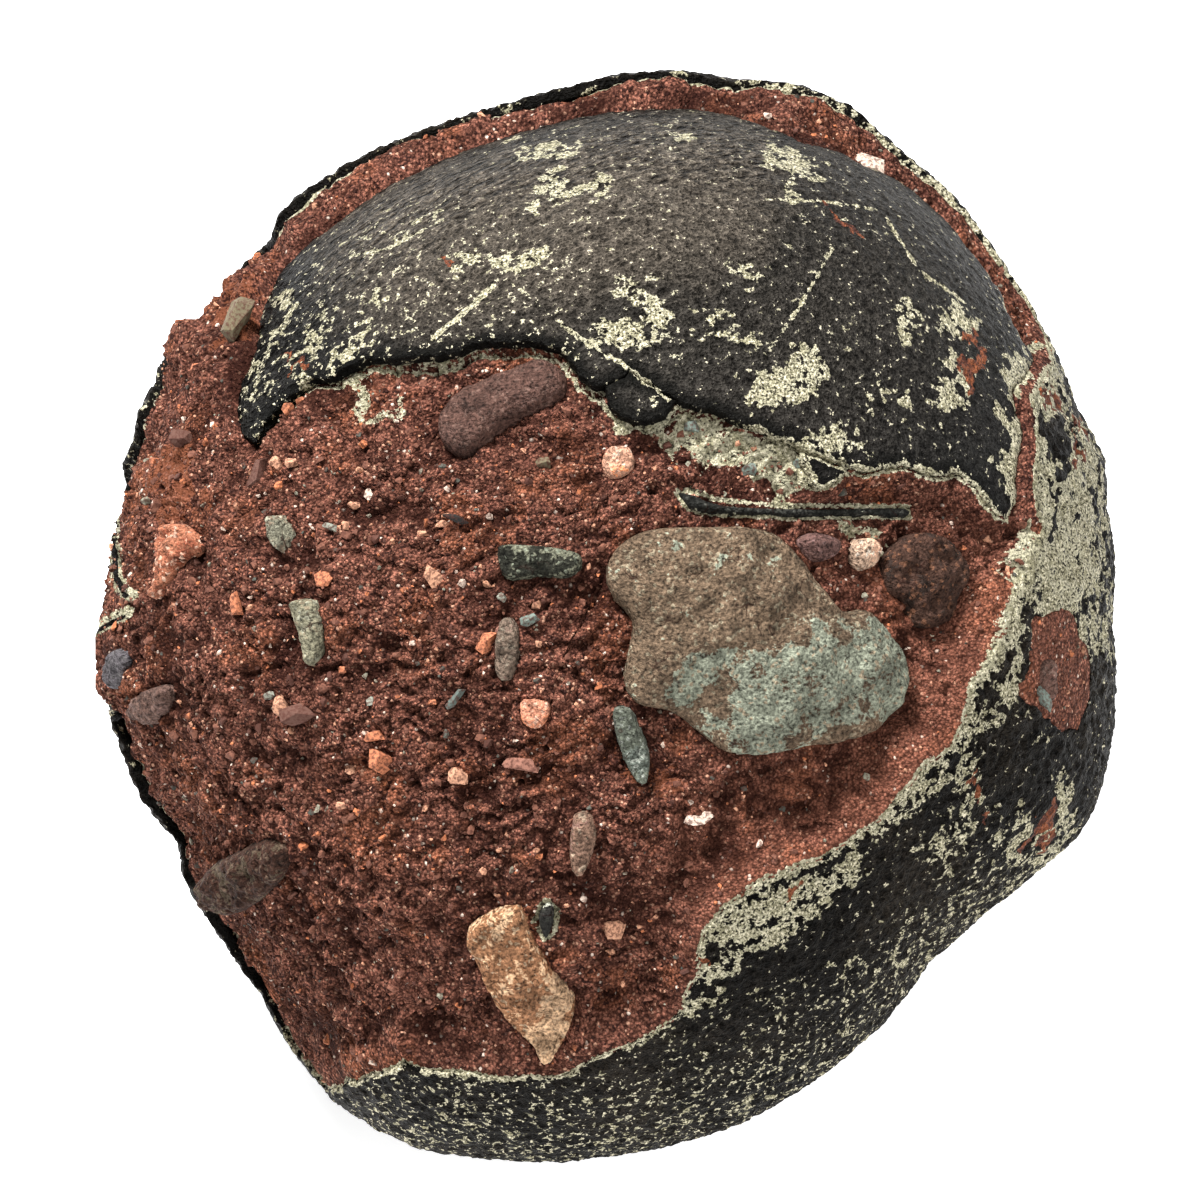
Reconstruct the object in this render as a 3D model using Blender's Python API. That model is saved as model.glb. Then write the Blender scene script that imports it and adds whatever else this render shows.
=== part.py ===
"""A fossil dinosaur egg in its broken shell, for Blender 4.5.  Metres, +Z up.

The egg stands on the small flat spot of its underside, whose middle is the origin.  Everything is laid out in
the egg's face frame: its middle is the egg's middle, x runs to the right along the broken face, y runs up the
face, and w points straight out of it.  The face looks towards -Y and up.  Each surface is a radius, in
millimetres, for every direction from the egg's middle, so the pieces nest inside each other like layers.
"""

import math

import bpy
import numpy as np
from mathutils import Vector, noise
from mathutils.geometry import delaunay_2d_cdt

# ------------------------------------------------------------------ driving dimensions, in millimetres
MM = 0.001
MIDDLE = np.array([4.0, 4.0, 76.3])  # the egg's middle, above the middle of the flat spot
FACE_TILT = math.radians(54)  # how far the face's normal rises above the horizon
FRONT_DEPTH = 74.0  # half the egg's depth, from the girth out through the face
BACK_DEPTH = 78.0  # half the egg's depth, from the girth to the back
SHELL = 2.2  # thickness of the eggshell
GAP = 0.35  # clearance between neighbouring pieces
SOCKET_GAP = 0.5  # clearance round a bedded stone, which narrows at its corners
OVERHANG = 1.3  # how far the sunken shell's lower edge juts over the stone below it
EDGE_SLOPE = 7.0  # width of the slope from the opening's edge down to the broken face
GIRTH_BLEND = 0.3  # how far from the girth, as a share of the radius, the girth's small bumps fade out
SMOOTH_SPREAD = math.radians(9)  # how widely the girth is averaged for the smooth body
LUMP = 0.7  # height of the broad lumps on the body
LUMP_SIZE = 26.0
LUMP_SEED = 3.0
RELIEF = 1.1  # height of the lumps and pits on the broken face
RELIEF_SIZE = 13.0
RELIEF_SEEDS = (7.0, 11.0)  # for the broad lumps, and for those of half their size and height
FREE_DEPTH = 3.0  # depth below the shell's bed at which the relief is full
MEAN_RADIUS = 77.0  # turns a distance along the surface into an angle

FINE_STEP = 6.0  # size of the facets on the face's side
COARSE_STEP = 10.5  # size of the facets behind
LOOP_CLEAR = 2.4  # how far the facets' corners keep from the edges of the openings
SOCKET_CLEAR = 1.6
LEDGE_REACH = 4.0  # how far below the sunken shell's lower edge the face is kept down
LEDGE_DROP = 0.4
LEDGE_MARGIN = 1.0  # how much nearer the lower edge than the crest a place has to be to be kept down
SEAT_GAP = 1.2 * GAP  # clearance between the sunken shell's crest and the side of its bed
FINE_REACH = -0.06  # w of the directions where the fine facets end, and where the coarse ones start
COARSE_REACH = -0.12

GIRTH_SAMPLES = 720
FIRST_DEPTH = 30.0  # where the search for a surface at (x, y) starts, its rounds, and the least depth it finds
SEARCH_ROUNDS = 12
LEAST_DEPTH = 3.0
SPOT_SIDES = 20  # sides of the flat spot's edge
SPOT_LEANS = np.radians(np.linspace(2, 30, 113))  # angles from straight down at which the edge is looked for
TOUCHING = 1e-6
MANY_CORNERS = 10  # a stone with so many corners or more has its inner ring further out
FEW_INNER = 0.5  # the inner ring's size, as a share of the stone's outline
MANY_INNER = 0.72

# The girth: the egg's outline round the face, clockwise from the top, as (x, y).
GIRTH = [
    (0, 81.5), (10, 82.5), (20, 81), (30, 80.2), (38, 76.6), (42.8, 72), (47, 68.5), (53, 63), (56, 59.5),
    (60, 53.5), (64, 47.5), (67, 42), (71, 32), (75.3, 24), (75.6, 17), (76.8, 9), (76.4, 0), (76.7, -16),
    (74, -28), (71, -33), (64, -39), (57, -44.5), (49, -51.5), (42, -61), (37.5, -65), (27, -72.5),
    (21, -75.8), (13, -78.5), (0, -81), (-6, -81.8), (-14, -81.5), (-27, -80), (-34, -77), (-40.8, -72.5),
    (-47, -65), (-51.5, -57), (-57, -49), (-63.5, -39), (-64, -34), (-69.5, -27.5), (-73, -19), (-76.5, -10),
    (-76.8, -3), (-74.8, 4), (-73.3, 15), (-71.5, 20), (-70.5, 30), (-66, 39), (-64.6, 45), (-61, 44.8),
    (-56.5, 52), (-50.5, 56.5), (-49, 61), (-45.5, 64), (-38.5, 68.5), (-27, 73.5), (-15, 77.3), (-5, 80),
]
# Stretches of the girth where the shell is gone and the stone filling is the outline, as the bearing of their
# middle and their half width, in degrees.
BARE_GIRTH = [(142, 9), (175, 14)]
BARE_FADE = 4.0

# The edge of the outer shell's big opening, clockwise from the top.  Two numbers are a point (x, y) on the
# face's side.  A third number puts the point that many degrees behind the girth, at the bearing of (x, y).
OPENING = [
    (0, 81.5, 0), (10, 82.5, 0), (20, 81, 0), (30, 80, 0), (36, 77.5, 0), (42, 72, 0), (47, 68.5, 0),
    (53, 63, 0), (58, 56.5, 0), (62, 50.5, 0), (65.6, 44.6, 0), (67.3, 40.3), (67.5, 37.5), (65.6, 35.3),
    (64.2, 33), (65, 29), (65, 24), (64.5, 19), (65.2, 15.5), (66.4, 13), (64.4, 9), (64.2, 6), (62, 2.6),
    (60, -1), (59.5, -5), (55.6, -9.5), (53.9, -14.5), (51.7, -19.5), (47.3, -22.3), (44, -26.2),
    (41.7, -29.5), (36.7, -32.9), (32.3, -35.6), (26.7, -37.8), (21.2, -40), (17.3, -43.4), (14, -48.9),
    (14.3, -53.4), (11.8, -56.2), (12, -58.9), (8.4, -61.2), (4.6, -63.7), (-0.4, -65.6), (-6.5, -68.9),
    (-10, -68.9), (-15, -69.2), (-22.7, -68.1), (-26, -68.6), (-29.9, -67.4), (-34.9, -69.5),
    (-39, -70.5), (-42, -71, 0), (-47, -65, 0), (-51.5, -57, 0), (-57, -49, 0), (-61, -43, 0), (-64, -36, 1),
    (-68, -29, 1), (-72, -22, 0), (-75, -16, 2), (-76.4, -12, 12), (-76.8, -5, 15), (-75, 4, 15),
    (-74, 10, 15), (-73, 16, 15), (-71.5, 21, 12), (-70.8, 26, 4), (-70.5, 31, 1), (-68.8, 35, 4), (-66, 39.5, 13),
    (-62, 45, 15), (-58, 50, 15), (-53, 54.5, 13), (-50.5, 57.5, 5), (-48.5, 61, 0), (-42, 66, 0),
    (-36, 69.7, 0), (-27, 73.5, 0), (-20, 76, 0), (-10, 78.8, 0),
]
# The small window in the outer shell's right side, clockwise from its top.
WINDOW = [
    (64.6, -1), (67, 0.8), (70.5, -0.2), (72.6, -3.5), (73.2, -8), (72.4, -13), (70.6, -16), (68, -16.6),
    (65.2, -14.2), (62.8, -10.6), (63.4, -5.5),
]

# The sunken shell, clockwise: its upper edge from the left tip to the right tip, then its lower edge back.
CREST = [
    (-54.4, 27.5), (-55, 30.5), (-54.5, 34), (-53, 38), (-52, 42), (-51.6, 45), (-50.3, 48.5), (-48.5, 52),
    (-46, 54.8), (-42, 58), (-38, 61), (-33, 64.5), (-28, 67), (-23, 69.5), (-18, 71.5), (-12, 73.2),
    (-6, 74.9), (0, 76.3), (7, 77.3), (13.5, 77.3), (20, 75.4), (25, 73.5), (30, 71.2), (35, 70.2), (39, 68),
    (43.4, 66.2), (46.7, 63.9), (50, 61), (52.8, 58.8), (54.8, 55.4), (57.3, 52.3), (59.5, 48.9),
    (60.8, 45.6), (62.6, 42), (64.4, 39), (63.4, 36.8), (61.2, 34.4), (61.6, 31), (62.6, 28), (62.5, 24.5),
    (61.6, 21), (61.6, 17.5),
]
LOWER_RIGHT = [(60, 14.8), (56.7, 18), (53.6, 21.6), (48.9, 21.6), (45, 22.6), (40, 22), (37.3, 22.3)]
LOWER_MIDDLE = [(26.7, 26.7), (23.4, 28.1), (20, 29.5), (15.6, 31.2), (12, 32.4)]
LOWER_LEFT = [
    (-1.2, 34.4), (-3.6, 36.3), (-4.6, 38.4), (-6, 40.5), (-10, 41.2), (-15, 41.4), (-20, 40.9), (-25, 39.5),
    (-30, 39), (-35.5, 38.8), (-40.5, 36.4), (-43.8, 36), (-46, 34.3), (-48.3, 32), (-50.5, 30), (-52.8, 26.2),
]
RIGHT_FLAKE = [(29.5, 25), (36.6, 21.8), (34.5, 20.2), (32.3, 19.2), (31.2, 20.1), (30.2, 22.8)]
LEFT_FLAKE = [(0.6, 34.2), (3.9, 36.2), (6, 34.6), (8, 33.2), (10.8, 32), (9.6, 30.6), (7.5, 29.5), (4.5, 29.2),
              (2.2, 30.4), (0.9, 32.2)]
RIGHT_CRACK = [(33.2, 24.1), (29.2, 26)]  # the sunken shell's side of the crack along each flake
LEFT_CRACK = [(10.9, 32.9), (8.3, 33.9), (6.2, 35.4), (4, 36.9), (0.4, 35)]
SUNKEN_OUTLINE = CREST + LOWER_RIGHT + RIGHT_CRACK + LOWER_MIDDLE + LEFT_CRACK + LOWER_LEFT
# The lower edge of the sunken shell and its flakes together, from the right tip to the left tip.
BROW = [
    *LOWER_RIGHT, (34.2, 20.4), (31.6, 20.4), (29.4, 25), *LOWER_MIDDLE, (9.4, 30.6), (6, 29.4), (2.4, 30.5),
    (0.6, 33.4), *LOWER_LEFT,
]

# How deep the sunken shell's outside lies below the whole egg's surface, as (x, y, depth).
SUNKEN_DEPTHS = [
    (-52, 32, 5.6), (-50, 48, 7.0), (-40, 58, 6.0), (-30, 48, 5.2), (-20, 70, 5.6), (0, 76, 5.4), (0, 50, 4.4),
    (20, 75, 5.6), (38, 68, 4.6), (30, 45, 4.0), (5, 34, 5.0), (50, 61, 3.2), (57, 52, 3.0), (63, 41, 1.8),
    (63, 33, 1.0), (63, 25, 1.0), (60, 16, 1.8), (50, 35, 3.0), (45, 24, 4.4), (30, 26, 4.8),
]
# How deep the broken stone face lies below the whole egg's surface, as (x, y, depth).
FACE_DEPTHS = [
    (-74, 8, 2.6), (-70, 28, 2.6), (-60, 45, 2.7), (-50, 56, 3.0), (-75, -12, 2.7), (-66, -32, 2.8),
    (-55, -50, 2.8), (-42, -68, 2.8), (-62, 32, 3.6), (-58, 24, 5.2), (-63, 10, 4.6), (-50, 12, 5.4),
    (-52, 0, 7.2), (-61, -12, 4.4), (-50, -30, 6.0), (-36, -50, 6.4), (-42, 30, 8.6), (-30, 33, 9.2),
    (-32, 18, 8.0), (-32, 2, 9.6), (-30, -20, 9.0), (-12, 36, 9.2), (-12, 22, 9.4), (-10, 2, 10.8),
    (-10, -18, 10.0), (-14, -40, 8.0), (-10, -60, 4.6), (10, 25, 8.8), (20, 21, 8.4), (12, 0, 11.0),
    (12, -20, 9.6), (14, -38, 5.8), (0, -50, 6.0), (34, 12, 9.6), (36, -8, 9.4), (34, -26, 5.6),
    (48, 14, 8.0), (50, 0, 7.6), (46, -14, 6.4), (58, 8, 4.6), (40, 19, 8.2), (63, 25, 3.6), (62, 48, 3.8),
    (50, 64, 4.4), (36, 72, 5.0), (15, 79, 4.8), (-10, 76, 4.8), (-30, 70, 5.0), (-44, 60, 5.2),
]
DEPTH_SPREAD = 8.5

# The stones set in the broken face: name, outline, how far the rim stands out, how far the middle bulges
# out beyond it, how deep the rim and the middle are buried, colour and roughness.
STONES = [
    ("large_pebble", [
        (0.3, 6), (1.2, 9.6), (4.5, 12.4), (9, 13.5), (15, 13.6), (20, 13.6), (25, 12.6), (28, 10), (31.5, 5.6),
        (35, 1.2), (39, 1.2), (42, -1.5), (44.6, -6), (44.4, -11), (42, -15), (37, -17.8), (30, -19.2),
        (24, -20.2), (18, -19.8), (14.5, -17.4), (10, -14), (5, -12.8), (3, -9.6), (3.6, -5), (4.2, -0.5),
        (1.6, 2.8)],
     1.0, 3.4, 2.0, 3.0, (0.22, 0.19, 0.13), 0.7),
    ("brown_pebble", [
        (-24.6, 28.6), (-23.8, 31), (-20.5, 33.8), (-15, 36), (-10.5, 38), (-7.4, 37.6), (-5.4, 35.6),
        (-5.8, 33), (-9, 31), (-13, 29.4), (-16.4, 27), (-19, 24.8), (-21.6, 24.2), (-24, 26)],
     0.8, 2.6, 1.8, 2.2, (0.17, 0.1, 0.08), 0.55),
    ("green_clast", [(-15.6, 10.6), (-10, 10.8), (-4, 9.8), (-3.4, 7.6), (-5.4, 6), (-10, 6.2), (-14.6, 6)],
     0.8, 1.0, 1.8, 1.5, (0.08, 0.09, 0.07), 0.7),
    ("slate_clast", [(1.2, -14), (3.8, -13.4), (5.4, -16.5), (6.8, -20.5), (6.4, -24), (4.6, -24), (2.6, -20)],
     0.8, 0.8, 1.8, 1.5, (0.14, 0.15, 0.12), 0.7),
    ("tan_slab", [
        (-13, -42.6), (-10.4, -47.6), (-7.8, -52), (-4.4, -57), (-5.2, -61), (-7.2, -64.6), (-9, -65.6),
        (-11, -62.4), (-15.4, -57.6), (-18.8, -51), (-20.2, -46.2)],
     1.2, 0.8, 1.8, 1.5, (0.36, 0.2, 0.11), 0.75),
    ("dark_cobble", [
        (-59.6, -40), (-58.6, -37), (-54, -34.6), (-50, -33), (-47.2, -34.4), (-47.6, -38), (-51, -42),
        (-56, -44.2)],
     0.6, 2.0, 1.6, 2.0, (0.08, 0.05, 0.035), 0.75),
    ("granite_clast", [
        (-67, 4.4), (-66.4, 8.6), (-66, 12), (-64, 14.2), (-61.4, 13.2), (-60.2, 10.2), (-62.2, 7.8), (-64.6, 5)],
     0.6, 1.0, 1.6, 1.5, (0.45, 0.2, 0.1), 0.75),
    ("pale_clast", [(-46.6, 2.2), (-43.2, 2.6), (-42.2, -1), (-42.8, -6.4), (-44.4, -6.8), (-45.4, -2.6)],
     0.5, 0.5, 1.8, 1.5, (0.26, 0.25, 0.18), 0.8),
    ("brown_wedge", [(-70.8, -13.2), (-69, -11), (-65.6, -10.2), (-65.4, -13), (-67, -15.8), (-69.4, -15.4)],
     0.4, 0.8, 1.4, 1.2, (0.12, 0.08, 0.06), 0.75),
    ("grey_rim_cobble", [(-74, -5), (-71.6, -5.2), (-71.8, -8.4), (-73, -10.8), (-74.4, -8.6)],
     0.2, 0.4, 1.2, 1.0, (0.09, 0.08, 0.08), 0.7),
    ("dark_right_cobble", [
        (41.6, 8), (44.6, 12), (49, 12.6), (53.4, 9), (53.4, 4), (51, -0.8), (46.4, -1.2), (45, 2.4), (42.2, 4)],
     0.6, 1.8, 1.8, 2.0, (0.09, 0.05, 0.04), 0.7),
    ("purple_pebble", [(28.4, 11.6), (31.4, 12.8), (35, 11.4), (34.4, 9.2), (31.4, 8.2), (29.6, 9.4)],
     0.7, 1.2, 1.6, 1.4, (0.13, 0.07, 0.06), 0.65),
    ("pink_pebble", [(36.6, 9.6), (37.2, 11.6), (39.8, 11.8), (41, 10), (40, 7.6), (37.8, 7.4)],
     0.6, 1.0, 1.6, 1.2, (0.5, 0.32, 0.22), 0.75),
    ("rose_clast", [(-12.4, -12.2), (-8.4, -12), (-8, -14.4), (-9.6, -16.4), (-11.8, -15.6)],
     0.8, 0.9, 1.6, 1.2, (0.5, 0.2, 0.12), 0.7),
    ("grey_clast", [(-50, 14.6), (-47.6, 15.4), (-46.6, 12.6), (-47.8, 10), (-49.6, 11)],
     0.5, 0.8, 1.6, 1.2, (0.26, 0.25, 0.2), 0.8),
    ("brown_oblong", [(-4.6, -29.8), (-1.8, -29.4), (-1.2, -33), (-2.8, -37.6), (-5, -37)],
     0.6, 0.7, 1.6, 1.3, (0.2, 0.12, 0.09), 0.75),
    ("grey_oblong", [(-15.6, -0.6), (-13.2, -0.6), (-12.4, -4.8), (-13.8, -9.2), (-16.2, -8)],
     0.6, 0.7, 1.6, 1.3, (0.14, 0.09, 0.07), 0.75),
    ("orange_granule", [(-0.4, 23.4), (1.2, 25.4), (3.8, 25.2), (4.6, 23), (3.2, 21), (0.8, 20.8)],
     0.7, 0.9, 1.6, 1.2, (0.5, 0.22, 0.12), 0.75),
    ("window_pebble", [(65.2, -6.6), (67, -6.2), (67.2, -9.6), (66.6, -12.6), (65, -10.6)],
     0.3, 0.5, 1.2, 1.0, (0.11, 0.06, 0.05), 0.7),
    ("shell_sliver", [
        (11.2, 18.6), (13.2, 18.4), (16, 17.2), (20, 16.6), (26, 16.4), (32, 16.3), (38, 16.4), (44.6, 16.4),
        (45, 14.6), (40, 14.9), (34, 14.9), (28, 14.8), (22, 15), (16, 15.4), (12.8, 16.2)],
     1.2, 0.0, 2.2, 0.0, (0.03, 0.03, 0.028), 0.6),
    ("shell_chip", [(-9.8, -44.6), (-8.6, -42.6), (-7.6, -43.6), (-7.8, -46.4), (-8.8, -47.2)],
     0.7, 0.3, 1.6, 0.8, (0.04, 0.035, 0.03), 0.6),
]

# Colour and roughness of the stone filling, the outer shell and the sunken shell.
MATRIX_LOOK = ((0.17, 0.08, 0.058), 0.9)
SHELL_LOOK = ((0.045, 0.042, 0.036), 0.6)
SUNKEN_LOOK = ((0.07, 0.066, 0.058), 0.5)


# ------------------------------------------------------------------ the body's surfaces
def unit(vectors):
    """The directions of an array of vectors."""
    return vectors / np.linalg.norm(vectors, axis=-1, keepdims=True)


def smoothstep(share):
    share = np.clip(share, 0.0, 1.0)
    return share * share * (3.0 - 2.0 * share)


def girth_table():
    """The girth's radius for every half degree of bearing, as it is and averaged smooth."""
    points = np.array(GIRTH, float)
    bearings = np.arctan2(points[:, 1], points[:, 0])
    order = np.argsort(bearings)
    samples = np.linspace(-math.pi, math.pi, GIRTH_SAMPLES, endpoint=False)
    radii = np.interp(samples, bearings[order], np.hypot(*points[order].T), period=2 * math.pi)
    for middle, half_width in BARE_GIRTH:
        away = np.abs((np.degrees(samples) - middle + 180) % 360 - 180)
        radii += (SHELL + GAP) * smoothstep((half_width - away) / BARE_FADE + 0.5)
    away = np.minimum(samples - samples[0], 2 * math.pi - (samples - samples[0]))
    weight = np.exp(-0.5 * (away / SMOOTH_SPREAD) ** 2)
    smooth = np.fft.ifft(np.fft.fft(radii) * np.fft.fft(weight / weight.sum())).real
    return samples, radii, smooth


BEARINGS, GIRTH_RADII, SMOOTH_RADII = girth_table()


def noise_at(directions, size, seed):
    """Smooth noise between about -1 and 1, with lumps of the given size in millimetres."""
    return np.array([noise.noise(Vector(p) + Vector((seed, seed, seed))) for p in
                     directions * (MEAN_RADIUS / size)])


def ellipsoid(directions, radii):
    """Radius of a body with the given girth radius at each direction's bearing."""
    w = directions[:, 2]
    depth = np.where(w > 0, FRONT_DEPTH, BACK_DEPTH)
    return 1.0 / np.sqrt((1.0 - w * w) / radii**2 + w * w / depth**2)


def body_radius(directions):
    """The whole egg's outer surface, before anything broke, with its flat spot."""
    bearing = np.arctan2(directions[:, 1], directions[:, 0])
    rough = np.interp(bearing, BEARINGS, GIRTH_RADII, period=2 * math.pi)
    smooth = np.interp(bearing, BEARINGS, SMOOTH_RADII, period=2 * math.pi)
    near_girth = np.exp(-(directions[:, 2] / GIRTH_BLEND) ** 2)
    radius = ellipsoid(directions, smooth + (rough - smooth) * near_girth)
    radius += LUMP * noise_at(directions, LUMP_SIZE, LUMP_SEED) * (1.0 - near_girth)
    fall = -(directions[:, 1] * math.cos(FACE_TILT) + directions[:, 2] * math.sin(FACE_TILT))
    floor = MIDDLE[2] / np.maximum(fall, 1e-3)
    return np.minimum(radius, floor)


def spread_depth(table, directions):
    """A depth for each direction, blended from a table of (x, y, depth)."""
    table = np.array(table, float)
    place = directions[:, :2] * ellipsoid(directions, np.full(len(directions), MEAN_RADIUS))[:, None]
    away = ((place[:, None, :] - table[None, :, :2]) ** 2).sum(axis=2)
    away -= away.min(axis=1, keepdims=True)
    weight = np.exp(-away / (2 * DEPTH_SPREAD**2))
    return (weight * table[:, 2]).sum(axis=1) / weight.sum(axis=1)


def sunken_radius(directions):
    """The outside of the sunken shell."""
    bearing = np.arctan2(directions[:, 1], directions[:, 0])
    smooth = np.interp(bearing, BEARINGS, SMOOTH_RADII, period=2 * math.pi)
    return ellipsoid(directions, smooth) - spread_depth(SUNKEN_DEPTHS, directions)


def loop_of(points, surface):
    """The directions, on the face's side, in which a surface shows at an outline's points (x, y) of the face."""
    places = np.array(points, float)
    reach = (places**2).sum(axis=1)
    depth = np.full(len(places), FIRST_DEPTH)
    for _ in range(SEARCH_ROUNDS):
        radius = surface(unit(np.column_stack([places, depth])))
        depth = np.sqrt(np.maximum(radius**2 - reach, LEAST_DEPTH**2))
    return unit(np.column_stack([places, depth]))


def opening_loop():
    """Directions of the outer shell's broken edge."""
    found = loop_of([point[:2] for point in OPENING], body_radius)
    for place, point in enumerate(OPENING):
        if len(point) == 3:
            bearing = math.atan2(point[1], point[0])
            lean = math.radians(point[2])
            level = math.cos(lean)
            found[place] = (math.cos(bearing) * level, math.sin(bearing) * level, -math.sin(lean))
    return found


def moved_out(loop, distance):
    """A clockwise loop with each point moved outwards along the surface by a distance in millimetres."""
    along = unit(np.roll(loop, -1, axis=0) - np.roll(loop, 1, axis=0))
    outwards = unit(np.cross(loop, along))
    return unit(loop + outwards * (np.reshape(distance, (-1, 1)) / MEAN_RADIUS))


# ------------------------------------------------------------------ nets of directions
def to_plane(directions):
    """Stereographic map from the sphere of directions to a plane, seen from straight behind."""
    return 2.0 * directions[:, :2] / np.maximum(1.0 + directions[:, 2:3], 1e-9)


def from_plane(points):
    square = (points**2).sum(axis=1, keepdims=True) / 4.0
    return np.hstack([points, 1.0 - square]) / (1.0 + square)


def inside(points, loop):
    """Which points of the plane lie inside a closed loop."""
    found = np.zeros(len(points), bool)
    for (ax, ay), (bx, by) in zip(loop, np.roll(loop, -1, axis=0)):
        spans = (ay > points[:, 1]) != (by > points[:, 1])
        if ay != by:
            found ^= spans & (points[:, 0] < ax + (points[:, 1] - ay) * (bx - ax) / (by - ay))
    return found


def edge_distance(directions, loop):
    """Distance in millimetres, along the surface, from each direction to a loop."""
    start = loop[None]
    side = np.roll(loop, -1, axis=0)[None] - start
    share = ((directions[:, None] - start) * side).sum(axis=2) / (side**2).sum(axis=2)
    nearest = start + side * np.clip(share, 0.0, 1.0)[:, :, None]
    return MEAN_RADIUS * np.linalg.norm(directions[:, None] - nearest, axis=2).min(axis=1)


def scatter():
    """Evenly spread directions, closer together on the face's side."""
    found = []
    for step, front in ((FINE_STEP, True), (COARSE_STEP, False)):
        count = int(4 * math.pi * MEAN_RADIUS**2 / (step**2 * math.sqrt(3) / 2))
        index = np.arange(count) + 0.5
        w = 1.0 - 2.0 * index / count
        turn = index * math.pi * (3.0 - math.sqrt(5.0))
        spread = np.sqrt(1.0 - w * w)
        directions = np.column_stack([np.cos(turn) * spread, np.sin(turn) * spread, w])
        found.append(directions[w > FINE_REACH] if front else directions[w < COARSE_REACH])
    return np.vstack(found)


def net(free, loops):
    """Triangles over free directions and closed loops, whose sides are kept as edges.

    Returns the directions, with the loops' points first, and the triangles, facing outwards."""
    points = np.vstack([*loops, free]) if len(free) else np.vstack(loops)
    flat = [Vector(p) for p in to_plane(points)]
    edges = []
    first = 0
    for loop in loops:
        count = len(loop)
        edges += [(first + i, first + (i + 1) % count) for i in range(count)]
        first += count
    placed, _, faces, _, _, _ = delaunay_2d_cdt(flat, edges, [], 0, 1e-9)
    if len(placed) != len(points):
        raise ValueError(f"outlines cross or touch: {len(placed)} points from {len(points)}")
    return from_plane(np.array([tuple(p) for p in placed])), np.array(faces)


def closed_behind(directions, triangles):
    """Adds the direction straight behind, where the plane of the net doesn't reach."""
    sides = {(a, b) for tri in triangles for a, b in zip(tri, np.roll(tri, -1))}
    pole = len(directions)
    fan = [(b, a, pole) for a, b in sides if (b, a) not in sides]
    return np.vstack([directions, [0.0, 0.0, -1.0]]), np.vstack([triangles, sorted(fan)])


def middles(directions, triangles):
    """The plane points of the triangles' middles."""
    return to_plane(directions)[triangles].mean(axis=1)


# ------------------------------------------------------------------ making objects
def material(name, look):
    """A plain Principled material of a colour and a roughness."""
    colour, roughness = look
    made = bpy.data.materials.new(name)
    made.use_nodes = True
    shader = made.node_tree.nodes["Principled BSDF"]
    shader.inputs["Base Color"].default_value = (*colour, 1.0)
    shader.inputs["Roughness"].default_value = roughness
    return made


def add_object(name, directions, radii, faces, finish):
    """One named object from points of the face frame, set upright on the flat spot."""
    x, y, w = (directions * np.reshape(radii, (-1, 1))).T
    sine = math.sin(FACE_TILT)
    cosine = math.cos(FACE_TILT)
    points = np.column_stack([x, y * sine - w * cosine, y * cosine + w * sine]) + MIDDLE
    mesh = bpy.data.meshes.new(name)
    mesh.from_pydata((points * MM).tolist(), [], [list(map(int, face)) for face in faces])
    mesh.materials.append(finish)
    mesh.validate()
    bpy.context.scene.collection.objects.link(bpy.data.objects.new(name, mesh))


def slab(name, directions, triangles, top, bottom, finish):
    """A closed piece between two surfaces over the same triangles, with walls along its edges."""
    used = np.unique(triangles)
    place = np.full(len(directions), -1)
    place[used] = np.arange(len(used))
    count = len(used)
    upper = place[triangles]
    sides = {(int(a), int(b)) for tri in upper for a, b in zip(tri, np.roll(tri, -1))}
    rims = sorted((a, b) for a, b in sides if (b, a) not in sides)
    faces = [tuple(tri) for tri in upper] + [tuple(tri[::-1] + count) for tri in upper]
    for a, b in rims:
        faces += [(b, a, a + count), (b, a + count, b + count)]
    both = np.vstack([directions[used], directions[used]])
    add_object(name, both, np.concatenate([top[used], bottom[used]]), faces, finish)


# ------------------------------------------------------------------ the pieces
class Stone:
    """One stone, or one bit of shell, bedded in the broken face."""

    def __init__(self, row, face):
        self.name, outline, lift, bulge, sink, belly, *self.look = row
        rim = np.array(outline, float)
        middle = rim.mean(axis=0)
        rings = [rim]
        swell = [np.zeros(len(rim))]
        if bulge or belly:
            inner = FEW_INNER if len(rim) < MANY_CORNERS else MANY_INNER
            rings.append(middle + (rim - middle) * inner)
            swell.append(np.full(len(rim), math.sqrt(1.0 - inner**2)))
            rings.append(middle[None])
            swell.append(np.ones(1))
        self.rim = loop_of(rings[0], face)
        inner_points = [loop_of(ring, face) for ring in rings[1:]]
        free = np.vstack(inner_points) if inner_points else np.empty((0, 3))
        self.directions, triangles = net(free, [self.rim])
        rim_plane = to_plane(self.rim)
        self.triangles = triangles[inside(middles(self.directions, triangles), rim_plane)]
        swell = np.concatenate(swell)
        level = face(self.directions)
        self.top = level + lift + bulge * swell
        self.bottom = level - sink - belly * swell
        self.socket_rim = moved_out(self.rim, SOCKET_GAP)

    def build(self):
        slab(self.name, self.directions, self.triangles, self.top, self.bottom, material(self.name, self.look))


def face_radius(directions, opening):
    """The broken stone face, smooth, running under the outer shell beyond the opening."""
    bed = SHELL + GAP
    within = inside(to_plane(directions), to_plane(opening))
    slope = smoothstep(edge_distance(directions, opening) / EDGE_SLOPE) * within
    return body_radius(directions) - bed - (spread_depth(FACE_DEPTHS, directions) - bed) * slope


def stone_radius(directions, opening):
    """The broken stone face with its lumps and pits."""
    smooth = face_radius(directions, opening)
    freedom = smoothstep((body_radius(directions) - smooth - SHELL - GAP) / FREE_DEPTH)
    broad, half = RELIEF_SEEDS
    lumps = noise_at(directions, RELIEF_SIZE, broad) + 0.5 * noise_at(directions, RELIEF_SIZE / 2, half)
    return smooth + RELIEF * lumps * freedom


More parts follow.
